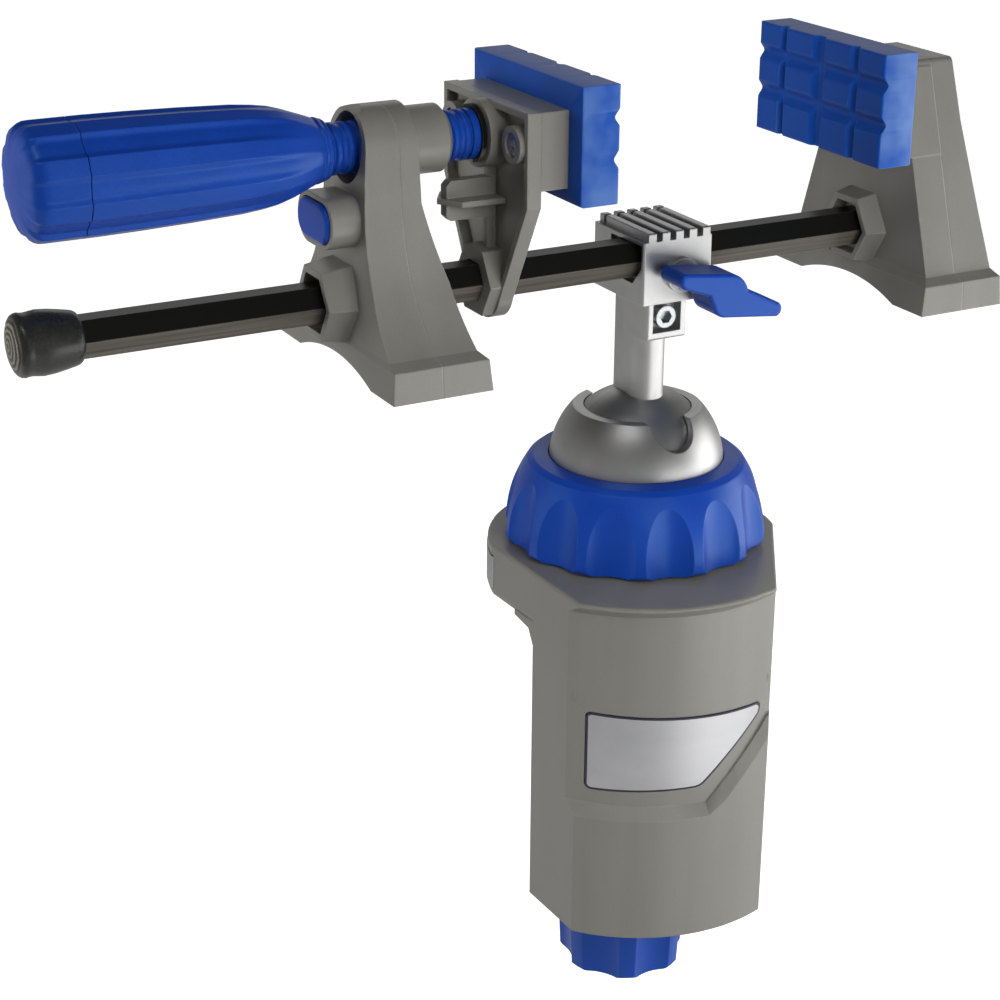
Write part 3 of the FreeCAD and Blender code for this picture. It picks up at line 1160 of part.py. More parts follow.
def make_jaw_pad(kind, face, inward):
    """A moulded pad with a grid of raised blocks; inward points from the pad to the work."""
    back = face - inward * s.pad_depth
    block = box(kind + "_pad_block", tuple(sorted((face, back))), ("-pad_half", "pad_half"),
                ("pad_low", "pad_high"))
    block = softened(kind + "_pad_soft", block, 1.0,
                     lambda c, e: abs(c.x - face) > 0.1)
    top, floor = face + inward, face - inward * s.groove_deep

    def groove(middle, width):
        wide, narrow = 0.5 * width + 0.6, 0.16 * width
        return [(top, middle - wide), (top, middle + wide), (floor, middle + narrow), (floor, middle - narrow)]

    tools = []
    for number, (y, width) in enumerate(PAD_COLUMNS):
        tools.append(prism("%s_column_%d" % (kind, number), "XY_Plane", groove(y, width),
                           "pad_low - 1", "pad_high + 1"))
    for number, (z, width) in enumerate(PAD_ROWS):
        tools.append(prism("%s_row_%d" % (kind, number), "XZ_Plane", groove(z, width),
                           "-pad_half - 1", "pad_half + 1"))
    slot = box(kind + "_pad_slot", tuple(sorted((back - inward, back + inward * s.carrier_tenon))),
               ("-carrier_half", "carrier_half"), ("carrier_low", "carrier_high"))
    node(kind + "_jaw_pad", cut(kind + "_pad_solid", block, slot, *tools), BAR)


PAD_COLUMNS = [(21.6, 3.2), (0.9, 5.6), (-19.4, 3.2)]
PAD_ROWS = [(57.2, 4.8), (43.9, 5.2)]


# The spindle: a blue threaded spindle turned by the long handle.
def spindle_frame():
    return Placement(Vector(0, 0, s.spindle_z), Rotation())


def make_spindle():
    thread = thread_outline(s.spindle_radius, s.spindle_depth, s.spindle_pitch,
                            s.handle_neck, -75.0)
    along = [(z, r) for r, z in thread]
    plain = s.spindle_radius
    outline = [(s.spindle_left, 0), (s.spindle_left, 7.0), (s.handle_neck, 7.0)] + along
    outline += [(-75.0, plain), (-72.6, plain), (-72.6, 7.2), (-71.0, 7.2), (-71.0, plain),
                (s.spindle_right, plain), (s.spindle_right, 0)]
    turned_spindle = turning("spindle_turned", outline, "H_Axis")
    bolt_hole = rod("spindle_bolt_hole", "X", (0, 0), "bolt_radius", "spindle_left - 1", "spindle_left + 16")
    solid = cut("spindle_bored", turned_spindle, bolt_hole)
    node("spindle", moved("spindle_solid", solid, spindle_frame()), BAR)


def make_retaining_clip():
    ring = turning("clip_turned", [(-72.6, 7.2), (-72.6, 9.3), (-71.0, 9.3), (-71.0, 7.2)], "H_Axis")
    gap = box("clip_gap", (-73, -70), (-2.2, 2.2), (-12, 0))
    node("retaining_clip", moved("clip_solid", cut("clip_open", ring, gap), spindle_frame()), BAR)


def handle_outline():
    end, big, waist, neck = s.handle_end, s.handle_big, s.handle_waist, s.handle_neck
    return [(end, 0), ((end + 0.5, 7.5), (end + 2.2, big - 4.4)), ((end + 3.6, big - 1.3), (end + 7.5, big - 0.1)),
            (-194, big), (-152, waist), ((-139.5, 15.1), (-131, 11.9)), (neck - 1.4, 9.5),
            ((neck - 0.4, 9.1), (neck, 8.6)), (neck, 0)]


def make_handle():
    blank = turning("handle_turned", handle_outline(), "H_Axis")
    count = int(s.handle_lobes)
    cuts = []
    slope = math.degrees(math.atan2(s.handle_big - s.handle_waist, 66))
    for number in range(count):
        angle = 360.0 * number / count
        reach = s.handle_big - s.lobe_depth + s.lobe_cut
        scoop = doc.addObject("Part::Cylinder", "handle_scoop_%d" % number)
        scoop.setExpression("Radius", bound("lobe_cut"))
        scoop.Height = 108
        turn = Rotation(Vector(1, 0, 0), angle)
        lean = Rotation(Vector(0, 1, 0), 90 + slope)
        scoop.Placement = Placement(turn.multVec(Vector(s.handle_end - 6, 0, reach)),
                                    turn.multiply(lean))
        cuts.append(scoop)
    bore = joined("handle_bores",
                  rod("handle_bore", "X", (0, 0), 7.0, "spindle_left", "handle_neck + 1"),
                  rod("handle_bolt_way", "X", (0, 0), "bolt_radius", "handle_seam - 3", "spindle_left + 1"),
                  rod("handle_bolt_sink", "X", (0, 0), 5.4, "handle_seam - 1", "handle_seam + 4.5"))
    whole = cut("handle_lobed", blank, bore, *cuts)
    grip_slab = box("handle_grip_slab", ("handle_seam", -90), (-30, 30), (-30, 30))
    grip = shared("handle_grip", whole, grip_slab)
    node("drive_handle", moved("handle_solid", grip, spindle_frame()), BAR)
    cap_blank = cut("cap_lobed", turning("cap_blank_turned", handle_outline(), "H_Axis"), *cuts)
    cap_slab = box("handle_cap_slab", (-230, "handle_seam - 0.15"), (-30, 30), (-30, 30))
    cap = shared("handle_cap_part", cap_blank, cap_slab)
    node("handle_end_cap", moved("handle_cap_solid", cap, spindle_frame()), BAR)
    shank = rod("handle_bolt_shank", "X", (0, 0), "bolt_radius", "handle_seam + 4.5", "spindle_left + 16")
    head = rod("handle_bolt_head", "X", (0, 0), 5.2, "handle_seam + 0.5", "handle_seam + 4.5")
    node("handle_bolt", moved("handle_bolt_solid", joined("handle_bolt_blank", shank, head),
                              spindle_frame()), BAR)


make_clamp_body()
make_badge_plate()
make_rim_badge()
make_spine_back_cover()
make_back_cover_screws()
make_spine_stiffener()
make_upper_jaw_pad()
make_ball_seat()
make_arm_nut()
make_lock_ring()
make_clamp_pad()
make_clamp_screw()
make_clamp_knob()
make_socket_cup()
make_ball_halves()
make_stem_screw()
make_bar_bracket()
make_clamp_shoe()
make_bracket_lever()
make_hex_bar()
make_bar_end_cap()
make_drive_support()
make_fixed_support()
make_bar_end_bolt()
make_spindle_nut()
make_lock_plate()
make_release_button()
make_release_spring()
make_movable_jaw()
make_jaw_screws()
make_carriers()
make_jaw_pad("movable", s.movable_face, 1)
make_jaw_pad("fixed", s.fixed_face, -1)
make_spindle()
make_retaining_clip()
make_handle()

doc.recompute()

# Nothing is written unless every object worked and every sub-part is a sound solid.
faults = []
for thing in doc.Objects:
    if "Invalid" in thing.State or "Error" in thing.State:
        faults.append("%s: %s" % (thing.Name, thing.State))
for label, thing in NODES.items():
    shape = thing.Shape
    if shape.isNull() or not shape.isValid() or not shape.Solids:
        faults.append(label + " has no sound solid")
if faults:
    raise SystemExit("\n".join(faults))

os.makedirs("parts", exist_ok=True)
for label, thing in NODES.items():
    thing.Shape.exportStep("parts/%s.step" % label)
    box_size = thing.Shape.BoundBox
    print("%-22s solids %d  volume %9.1f  x %7.1f %7.1f  y %7.1f %7.1f  z %7.1f %7.1f" % (
        label, len(thing.Shape.Solids), thing.Shape.Volume, box_size.XMin, box_size.XMax,
        box_size.YMin, box_size.YMax, box_size.ZMin, box_size.ZMax))
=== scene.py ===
"""The looks of a clamp-on table vise with a ball joint, a hexagon bar, two supports and a drive handle.

Lengths are in metres. X runs along the bar, Z is up and the ball's centre is 50 mm above the origin.
"""

import json
import math

import bmesh
import bpy
from mathutils import Matrix, Vector

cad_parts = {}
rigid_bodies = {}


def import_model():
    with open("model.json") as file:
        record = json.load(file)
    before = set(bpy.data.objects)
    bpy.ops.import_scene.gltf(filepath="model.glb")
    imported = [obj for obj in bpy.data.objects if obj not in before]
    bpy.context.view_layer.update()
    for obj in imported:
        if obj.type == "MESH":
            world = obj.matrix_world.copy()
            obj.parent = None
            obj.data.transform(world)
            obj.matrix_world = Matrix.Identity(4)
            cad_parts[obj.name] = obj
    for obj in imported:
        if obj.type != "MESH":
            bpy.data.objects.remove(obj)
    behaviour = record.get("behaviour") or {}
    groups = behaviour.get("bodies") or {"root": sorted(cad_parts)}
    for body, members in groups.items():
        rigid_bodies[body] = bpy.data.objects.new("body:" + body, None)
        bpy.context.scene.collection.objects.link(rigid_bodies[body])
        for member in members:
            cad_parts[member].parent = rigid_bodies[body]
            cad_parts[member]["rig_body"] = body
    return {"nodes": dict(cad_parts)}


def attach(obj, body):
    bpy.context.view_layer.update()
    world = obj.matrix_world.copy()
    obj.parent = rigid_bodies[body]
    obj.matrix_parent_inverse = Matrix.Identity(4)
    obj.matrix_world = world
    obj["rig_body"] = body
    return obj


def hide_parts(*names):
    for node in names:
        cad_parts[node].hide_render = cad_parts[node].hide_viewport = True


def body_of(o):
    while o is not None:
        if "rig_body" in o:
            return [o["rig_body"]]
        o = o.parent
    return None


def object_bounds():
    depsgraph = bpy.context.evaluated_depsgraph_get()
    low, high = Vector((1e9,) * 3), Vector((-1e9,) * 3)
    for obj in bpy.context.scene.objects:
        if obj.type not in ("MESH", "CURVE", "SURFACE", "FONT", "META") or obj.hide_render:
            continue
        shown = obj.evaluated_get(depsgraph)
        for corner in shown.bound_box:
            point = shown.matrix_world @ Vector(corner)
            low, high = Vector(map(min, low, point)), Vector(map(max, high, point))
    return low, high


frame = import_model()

cad_low, cad_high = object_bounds()
nodes = frame["nodes"]


# The view: a long lens from the front left and above, aimed past the middle of the bar.
# It leans by less than a degree, halfway between the leans of the bar and of the base in the picture.
BAR_MIDDLE = Vector((0, -0.011, 0.1287))
BAR_MIDDLE_PIXEL = Vector((659.5, 252.6))
PICTURE_SIDE = 1000
LENS_IN_PIXELS = 2243.8
VIEW_TURN = math.radians(-28.4)
VIEW_RISE = math.radians(22.0)
VIEW_LEAN = math.radians(0.4)
VIEW_DISTANCE = 0.7593


def direction(turn, rise):
    """The direction from the object towards a place at this turn about Z and this height angle."""
    return Vector((
        math.sin(turn) * math.cos(rise),
        -math.cos(turn) * math.cos(rise),
        math.sin(rise),
    ))


camera = bpy.data.objects.new("camera", bpy.data.cameras.new("camera"))
bpy.context.scene.collection.objects.link(camera)
camera.data.sensor_width = 36
camera.data.lens = LENS_IN_PIXELS / PICTURE_SIDE * camera.data.sensor_width
camera.data.clip_start = 0.05
camera.data.clip_end = 20
aim = -direction(VIEW_TURN, VIEW_RISE)
facing = aim.to_track_quat("-Z", "Y").to_matrix() @ Matrix.Rotation(VIEW_LEAN, 3, "Z")
metres_per_pixel = VIEW_DISTANCE / LENS_IN_PIXELS
bar_from_camera = Vector((
    (BAR_MIDDLE_PIXEL.x - PICTURE_SIDE / 2) * metres_per_pixel,
    (PICTURE_SIDE / 2 - BAR_MIDDLE_PIXEL.y) * metres_per_pixel,
    -VIEW_DISTANCE,
))
camera.matrix_world = Matrix.Translation(BAR_MIDDLE - facing @ bar_from_camera) @ facing.to_4x4()
bpy.context.scene.camera = camera
bpy.context.scene.view_settings.view_transform = "Standard"


# The surroundings: a white floor below the knob's lowest place, and lamps in a room with a dark ceiling.
# The cards and the strip show in the metal as soft bright bands, and the boxes only light the vise.
KNOB_TRAVEL = 0.052
FLOOR_SIDE = 12
PAPER = (0.42, 0.42, 0.415, 1)
FLOOR_SHINE = 0.25
CEILING_LIGHT = 0.05
HORIZON_LIGHT = 0.30
CEILING_RISE = 0.7


def put(tree, kind, inputs=(), **settings):
    """Adds a shader node with these settings, each input given a value or the output that feeds it."""
    node = tree.nodes.new("ShaderNode" + kind)
    for name, value in settings.items():
        setattr(node, name, value)
    for socket, value in dict(inputs).items():
        if isinstance(value, bpy.types.NodeSocket):
            tree.links.new(value, node.inputs[socket])
        else:
            node.inputs[socket].default_value = value
    return node


def soft_box(name, turn, rise, distance, width, height, watts, reflected):
    """A rectangular lamp in this direction and distance from the origin, which it faces."""
    lamp = bpy.data.objects.new(name, bpy.data.lights.new(name, "AREA"))
    bpy.context.scene.collection.objects.link(lamp)
    lamp.data.shape = "RECTANGLE"
    lamp.data.size = width
    lamp.data.size_y = height
    lamp.data.energy = watts
    away = direction(math.radians(turn), math.radians(rise))
    turned = (-away).to_track_quat("-Z", "Y").to_matrix().to_4x4()
    lamp.matrix_world = Matrix.Translation(away * distance) @ turned
    lamp.visible_camera = False
    lamp.visible_glossy = reflected


soft_box("right_card", 72, 4, 0.62, 0.46, 0.40, 1.5, reflected=True)
soft_box("low_right_card", 26, -10, 0.46, 0.46, 0.24, 0.68, reflected=True)
soft_box("back_card", 152, 30, 1.1, 0.9, 0.40, 0.75, reflected=True)
soft_box("high_strip", -60, 58, 1.5, 0.9, 0.16, 3.0, reflected=True)
soft_box("right_box", 70, 4, 0.62, 0.40, 0.40, 1.6, reflected=False)
soft_box("low_right_box", 28, -10, 0.46, 0.44, 0.24, 0.6, reflected=False)
soft_box("left_box", -112, 12, 0.62, 0.22, 0.44, 2.6, reflected=False)
soft_box("near_box", -6, 28, 0.65, 0.30, 0.30, 3.0, reflected=False)

room = bpy.data.worlds.new("room")
bpy.context.scene.world = room
room.use_nodes = True
backdrop = room.node_tree.nodes["Background"]
backdrop.inputs["Color"].default_value = (1, 1, 1, 1)
towards = put(room.node_tree, "TexCoord").outputs["Generated"]
height = put(room.node_tree, "SeparateXYZ", {"Vector": towards}).outputs["Z"]
dimmed = put(
    room.node_tree,
    "MapRange",
    {"Value": height, "From Max": CEILING_RISE, "To Min": HORIZON_LIGHT, "To Max": CEILING_LIGHT},
)
seen = put(room.node_tree, "LightPath").outputs["Is Camera Ray"]
brightness = put(
    room.node_tree, "MapRange", {"Value": seen, "To Min": dimmed.outputs["Result"], "To Max": 1.0}
)
room.node_tree.links.new(brightness.outputs["Result"], backdrop.inputs["Strength"])

sheet = bmesh.new()
bmesh.ops.create_grid(sheet, x_segments=1, y_segments=1, size=FLOOR_SIDE / 2)
bmesh.ops.translate(sheet, verts=sheet.verts, vec=(0, 0, cad_low.z - KNOB_TRAVEL))
floor = bpy.data.objects.new("floor", bpy.data.meshes.new("floor"))
sheet.to_mesh(floor.data)
sheet.free()
bpy.context.scene.collection.objects.link(floor)
paper = bpy.data.materials.new("pale_paper")
paper.use_nodes = True
paper_shader = paper.node_tree.nodes["Principled BSDF"]
paper_shader.inputs["Base Color"].default_value = PAPER
paper_shader.inputs["Roughness"].default_value = 0.9
paper_shader.inputs["Emission Color"].default_value = (1, 1, 1, 1)
rays = put(paper.node_tree, "LightPath").outputs
shine = put(paper.node_tree, "Math", {0: rays["Is Glossy Ray"], 1: FLOOR_SHINE}, operation="MULTIPLY")
glow = put(
    paper.node_tree, "Math", {0: rays["Is Camera Ray"], 1: shine.outputs[0]}, operation="MAXIMUM"
)
paper.node_tree.links.new(glow.outputs[0], paper_shader.inputs["Emission Strength"])
floor.data.materials.append(paper)


# The clamp body: one hollow moulding of warm grey glass-filled nylon with a fine satin skin.
# The arm over the table's edge, the deep front housing and the round neck under the ball are one piece.
# The supports' half shells, the moving jaw and its carrier, the spindle nut and the back cover share it.
NYLON = (0.142, 0.137, 0.122)
NYLON_RUBBED = (0.34, 0.33, 0.30)


def socket_group(name, inputs, outputs):
    """An empty node group with float, colour or vector sockets, and its two end nodes."""
    tree = bpy.data.node_groups.new(name, "ShaderNodeTree")
    for label, (kind, value) in inputs.items():
        socket = tree.interface.new_socket(label, in_out="INPUT", socket_type="NodeSocket" + kind)
        if value is not None:
            socket.default_value = value
    for label, kind in outputs.items():
        tree.interface.new_socket(label, in_out="OUTPUT", socket_type="NodeSocket" + kind)
    return tree, tree.nodes.new("NodeGroupInput").outputs, tree.nodes.new("NodeGroupOutput").inputs


grain, given, result = socket_group(
    "mould_grain",
    {"Place": ("Vector", None), "Flow": ("Vector", None), "Fineness": ("Float", 2200.0)},
    {"Height": "Float", "Speck": "Float", "Mottle": "Float"},
)
pits = put(
    grain,
    "TexNoise",
    {"Vector": given["Place"], "Scale": given["Fineness"], "Detail": 2.0, "Roughness": 0.65},
)
grain.links.new(pits.outputs["Fac"], result["Height"])
speck = put(grain, "MapRange", {"Value": pits.outputs["Fac"], "From Min": 0.35, "From Max": 0.68})
grain.links.new(speck.outputs["Result"], result["Speck"])
clouds = put(grain, "TexNoise", {"Vector": given["Flow"], "Scale": 90.0, "Detail": 3.0, "Roughness": 0.5})
mottle = put(grain, "MapRange", {"Value": clouds.outputs["Fac"], "From Min": 0.3, "From Max": 0.7})
grain.links.new(mottle.outputs["Result"], result["Mottle"])

# The edge mask marks rubbed edges on most pieces, and on the jaw pads the edges that are painted lighter for
# light coming through them.
edge_wear_and_glow, given, result = socket_group(
    "edge_wear_and_glow",
    {"Place": ("Vector", None), "Round": ("Float", 0.0005)},
    {"Rounded": "Vector", "Edge": "Float"},
)
rounded = put(edge_wear_and_glow, "Bevel", {"Radius": given["Round"]}, samples=6)
straight = put(edge_wear_and_glow, "NewGeometry")
edge_wear_and_glow.links.new(rounded.outputs["Normal"], result["Rounded"])
agreement = put(
    edge_wear_and_glow,
    "VectorMath",
    {0: rounded.outputs["Normal"], 1: straight.outputs["Normal"]},
    operation="DOT_PRODUCT",
)
bend = put(
    edge_wear_and_glow,
    "MapRange",
    {"Value": agreement.outputs["Value"], "From Min": 0.995, "From Max": 0.85},
)
chips = put(edge_wear_and_glow, "TexNoise", {"Vector": given["Place"], "Scale": 140.0, "Detail": 4.0})
chance = put(edge_wear_and_glow, "MapRange", {"Value": chips.outputs["Fac"], "From Min": 0.3, "From Max": 0.6})
edge = put(
    edge_wear_and_glow,
    "Math",
    {0: bend.outputs["Result"], 1: chance.outputs["Result"]},
    operation="MULTIPLY",
)
edge_wear_and_glow.links.new(edge.outputs[0], result["Edge"])


def blended(tree, share, first, second):
    """A colour between two colours or sources."""
    mix = put(tree, "Mix", data_type="RGBA")
    for socket, value in ((0, share), (6, first), (7, second)):
        if isinstance(value, bpy.types.NodeSocket):
            tree.links.new(value, mix.inputs[socket])
        else:
            mix.inputs[socket].default_value = value if socket == 0 else (*value, 1)
    return mix.outputs[2]


def scaled(tree, value, factor):
    """A value times a number."""
    return put(tree, "Math", {0: value, 1: factor}, operation="MULTIPLY").outputs[0]


def dressed_surface(name, fineness, grain_depth, round_off, stretch):
    """A material whose shader has grain and rounded edges: its tree, shader, place, grain and edge nodes."""
    material = bpy.data.materials.new(name)
    material.use_nodes = True
    tree = material.node_tree
    shader = tree.nodes["Principled BSDF"]
    place = put(tree, "TexCoord").outputs["Object"]
    flow = put(tree, "Mapping", {"Vector": place, "Scale": stretch}).outputs["Vector"]
    grained = put(
        tree, "Group", {"Place": place, "Flow": flow, "Fineness": fineness}, node_tree=grain
    ).outputs
    edged = put(tree, "Group", {"Place": place, "Round": round_off}, node_tree=edge_wear_and_glow).outputs
    surface = put(
        tree,
        "Bump",
        {"Height": grained["Height"], "Distance": grain_depth, "Normal": edged["Rounded"]},
    )
    tree.links.new(surface.outputs["Normal"], shader.inputs["Normal"])
    return material, tree, shader, place, grained, edged


def moulded_plastic(
    name,
    colour,
    rubbed,
    roughness,
    fineness=2200.0,
    grain_depth=0.00002,
    mottling=0.06,
    round_off=0.0008,
    stretch=(1, 1, 0.12),
):
    """Moulded plastic with a fine grain, faint flow lines and lighter, slightly rounded edges."""
    material, tree, shader, place, grained, edged = dressed_surface(
        name, fineness, grain_depth, round_off, stretch
    )
    toned = blended(
        tree,
        grained["Mottle"],
        [c * (1 - mottling) for c in colour],
        [c * (1 + mottling) for c in colour],
    )
    specked = blended(tree, scaled(tree, grained["Speck"], mottling), toned, rubbed)
    coloured = blended(tree, scaled(tree, edged["Edge"], 0.4), specked, rubbed)
    tree.links.new(coloured, shader.inputs["Base Color"])
    gloss = put(
        tree,
        "MapRange",
        {"Value": grained["Mottle"], "To Min": roughness - 0.04, "To Max": roughness + 0.04},
    )
    tree.links.new(gloss.outputs["Result"], shader.inputs["Roughness"])
    return material


def finish_node(name, material):
    """Gives a CAD piece its material in place of the plain one it came with."""
    mesh = nodes[name].data
    mesh.materials.clear()
    mesh.materials.append(material)


nylon = moulded_plastic("satin_nylon", NYLON, NYLON_RUBBED, 0.32, round_off=0.0007)
NYLON_NODES = (
    "clamp_body", "spine_back_cover", "drive_support_outer", "drive_support_inner",
    "fixed_support_outer", "fixed_support_inner", "movable_jaw", "spindle_nut", "movable_carrier",
)
for name in NYLON_NODES:
    finish_node(name, nylon)


# The hand-turned pieces: the lock ring, the knob, the lever, the button and the spindle.
# They are moulded in royal blue plastic, whose satin skin shines pale blue along the lobes.
ROYAL_BLUE = (0.004, 0.032, 0.25)
ROYAL_BLUE_RUBBED = (0.02, 0.14, 0.48)
BLUE_SHEEN = (0.40, 0.74, 1.0, 1)
royal_blue = moulded_plastic(
    "royal_blue_plastic", ROYAL_BLUE, ROYAL_BLUE_RUBBED, 0.33, 1800.0, 0.000012, 0.05, 0.0007, (1, 1, 1)
)
blue_shader = royal_blue.node_tree.nodes["Principled BSDF"]
blue_shader.inputs["Specular Tint"].default_value = BLUE_SHEEN
for name in ("lock_ring", "clamp_knob", "bracket_lever", "release_button", "spindle"):
    finish_node(name, royal_blue)


# The drive handle: a long grip and its end cap, with eight flat lobes that run out over the rounded end.
# Shallow grooves part the lobes, and the grip narrows to a ringed neck by the support.
SPINDLE_LINE = Vector((0, -0.011, 0.1769))
LOBES = 8
LOBE_FLAT = 0.27
GROOVE = 0.080
GROOVE_WIDTH = 0.24
GROOVE_FLOOR = 0.72
GROOVE_FLANK = 0.56
HANDLE_END = -0.221
HANDLE_SEAM = -0.2023
SHARP_EDGE = math.radians(38)


def lobed(angle, depth):
    """The radius at this angle from the top for a radius of one: flat lobes and flat-bottomed grooves."""
    pitch = 2 * math.pi / LOBES
    from_groove = min(angle % pitch, pitch - angle % pitch)
    half_groove = pitch * GROOVE_WIDTH
    side = (from_groove - half_groove * GROOVE_FLOOR) / (half_groove * GROOVE_FLANK)
    side = min(1.0, max(0.0, side))
    side = side * side * (3 - 2 * side)
    from_lobe = pitch / 2 - from_groove
    flat = math.cos(pitch * LOBE_FLAT) / math.cos(min(from_lobe, pitch * LOBE_FLAT))
    return flat - depth * (1 - side)


def swept(name, line, stations, shape, material, ring_count=160, closed=False):
    """A skin around a line along X. stations are (x, radius, groove depth); a radius of 0 makes a pole."""
    skin = bmesh.new()
    rings = []
    for x, radius, depth in stations:
        if radius == 0:
            rings.append([skin.verts.new((x, line.y, line.z))])
            continue
        ring = []
        for number in range(ring_count):
            angle = 2 * math.pi * number / ring_count
            reach = radius * shape(angle, depth)
            across, upward = reach * math.sin(angle), reach * math.cos(angle)
            ring.append(skin.verts.new((x, line.y - across, line.z + upward)))
        rings.append(ring)
    if closed:
        rings.append(rings[0])
    for first, second in zip(rings, rings[1:]):
        count = max(len(first), len(second))
        for number in range(count):
            following = (number + 1) % count
            corners = [
                first[number % len(first)],
                second[number % len(second)],
                second[following % len(second)],
                first[following % len(first)],
            ]
            skin.faces.new(list(dict.fromkeys(corners)))
    bmesh.ops.recalc_face_normals(skin, faces=skin.faces)
    for face in skin.faces:
        face.smooth = True
    return finished_piece(name, skin, material)


def finished_piece(name, skin, *materials):
    """Turns mesh code into an object of the scene, with smooth shading up to a fairly sharp angle."""
    for piece_edge in skin.edges:
        piece_edge.smooth = len(piece_edge.link_faces) < 2 or piece_edge.calc_face_angle(0) < SHARP_EDGE
    piece = bpy.data.objects.new(name, bpy.data.meshes.new(name))
    skin.to_mesh(piece.data)
    skin.free()
    bpy.context.scene.collection.objects.link(piece)
    for material in materials:
        piece.data.materials.append(material)
    return piece


def stand_for(piece, node_name):
    """Shows a piece in place of a CAD node and lets it ride on the same body."""
    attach(piece, body_of(nodes[node_name])[0])
    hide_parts(node_name)


grip_plastic = moulded_plastic(
    "grip_plastic", ROYAL_BLUE, ROYAL_BLUE_RUBBED, 0.36, 1300.0, 0.00003, 0.07, 0.0004, (1, 1, 1)
)
grip_shader = grip_plastic.node_tree.nodes["Principled BSDF"]
grip_shader.inputs["Specular Tint"].default_value = BLUE_SHEEN
grip_stations = [
    (HANDLE_SEAM, 0.0050, 0), (HANDLE_SEAM, 0.0178, GROOVE), (HANDLE_SEAM + 0.0001, 0.0180, GROOVE),
    (-0.198, 0.0180, GROOVE), (-0.185, 0.0178, GROOVE), (-0.168, 0.0173, GROOVE), (-0.152, 0.0166, GROOVE),
    (-0.145, 0.0159, 0.068), (-0.140, 0.0151, 0.050), (-0.136, 0.0139, 0.028), (-0.132, 0.0123, 0.010),
    (-0.129, 0.0111, 0), (-0.1272, 0.0104, 0), (-0.1266, 0.0099, 0), (-0.1260, 0.0103, 0),
    (-0.1252, 0.0101, 0), (-0.1246, 0.0095, 0), (-0.1240, 0.0097, 0), (-0.1234, 0.0093, 0),
    (-0.1230, 0.0086, 0), (-0.1230, 0.00705, 0), (-0.1358, 0.00705, 0), (-0.1358, 0.0031, 0),
    (-0.198, 0.0031, 0),
]
grip = swept("drive_handle_grip", SPINDLE_LINE, grip_stations, lobed, grip_plastic, closed=True)
stand_for(grip, "drive_handle")
cap_stations = [
    (HANDLE_END + 0.0001, 0, 0), (HANDLE_END + 0.0002, 0.005, 0.02), (HANDLE_END + 0.0006, 0.0095, 0.05),
    (HANDLE_END + 0.0012, 0.0128, 0.07), (HANDLE_END + 0.0020, 0.0150, GROOVE),
    (HANDLE_END + 0.0030, 0.0165, GROOVE), (HANDLE_END + 0.0042, 0.0174, GROOVE),
    (HANDLE_END + 0.0056, 0.0179, GROOVE), (HANDLE_END + 0.0075, 0.0180, GROOVE),
    (-0.2026, 0.0180, GROOVE), (-0.20245, 0.0178, GROOVE), (-0.20245, 0, 0),
]
end_cap = swept("drive_handle_cap", SPINDLE_LINE, cap_stations, lobed, grip_plastic)
stand_for(end_cap, "handle_end_cap")


# The jaw pads: soft urethane pads with a grid of raised tiles between wide, soft-edged grooves.
# A painted whitish sheen lies in patches on the ends for the light's haze on them, and the thin edges are
# painted lighter for light coming through them.
URETHANE = (0.003, 0.042, 0.26)
URETHANE_LIT_EDGE = (0.02, 0.16, 0.46)
PAINTED_END_SHEEN = (0.10, 0.17, 0.36)
PAD_HALF = 0.0359
PAD_LOW = 0.15835
PAD_HIGH = 0.1962
PAD_DEPTH = 0.0138
MOVABLE_FACE = -0.0386
FIXED_FACE = 0.0618
BAR_LINE_Y = -0.011
TILE_COLUMNS = ((0.0216, 0.0021), (0.0009, 0.0033), (-0.0194, 0.0021))
TILE_ROWS = ((0.1859, 0.0029), (0.1726, 0.0031))
COLUMN_FLOOR = 0.45
ROW_FLOOR = 0.12
GROOVE_DEEP = 0.0021
SLOT_HALF = 0.0277
SLOT_LOW = 0.1630
SLOT_HIGH = 0.1877
SLOT_DEEP = 0.0060
PAD_EDGE = 0.0009
PAD_STEP = 0.0006
EDGE_STEPS = (0, 0.12, 0.3, 0.6, 1.0)


def spaced(low, high):
    """Even steps from low to high, with closer steps by both ends."""
    start = [low + PAD_EDGE * share for share in EDGE_STEPS]
    inner = high - low - 2 * PAD_EDGE
    count = round(inner / PAD_STEP)
    middle = [low + PAD_EDGE + inner * n / count for n in range(1, count)]
    return start + middle + [high - PAD_EDGE * share for share in reversed(EDGE_STEPS)]


def tile_sink(y, z):
    """How far the pad's working face lies below its highest plane at this place."""
    sink = 0.0
    for place, grooves, flat in ((y, TILE_COLUMNS, COLUMN_FLOOR), (z, TILE_ROWS, ROW_FLOOR)):
        for middle, half in grooves:
            share = min(1.0, max(0.0, (1 - abs(place - middle) / half) / (1 - flat)))
            sink = max(sink, GROOVE_DEEP * share * (1.25 - 0.25 * share))
    to_edge = min(PAD_HALF - abs(y), z - PAD_LOW, PAD_HIGH - z)
    if to_edge < PAD_EDGE:
        drop = math.sqrt(max(0.0, PAD_EDGE**2 - (PAD_EDGE - to_edge) ** 2))
        sink = max(sink, PAD_EDGE - drop)
    return sink


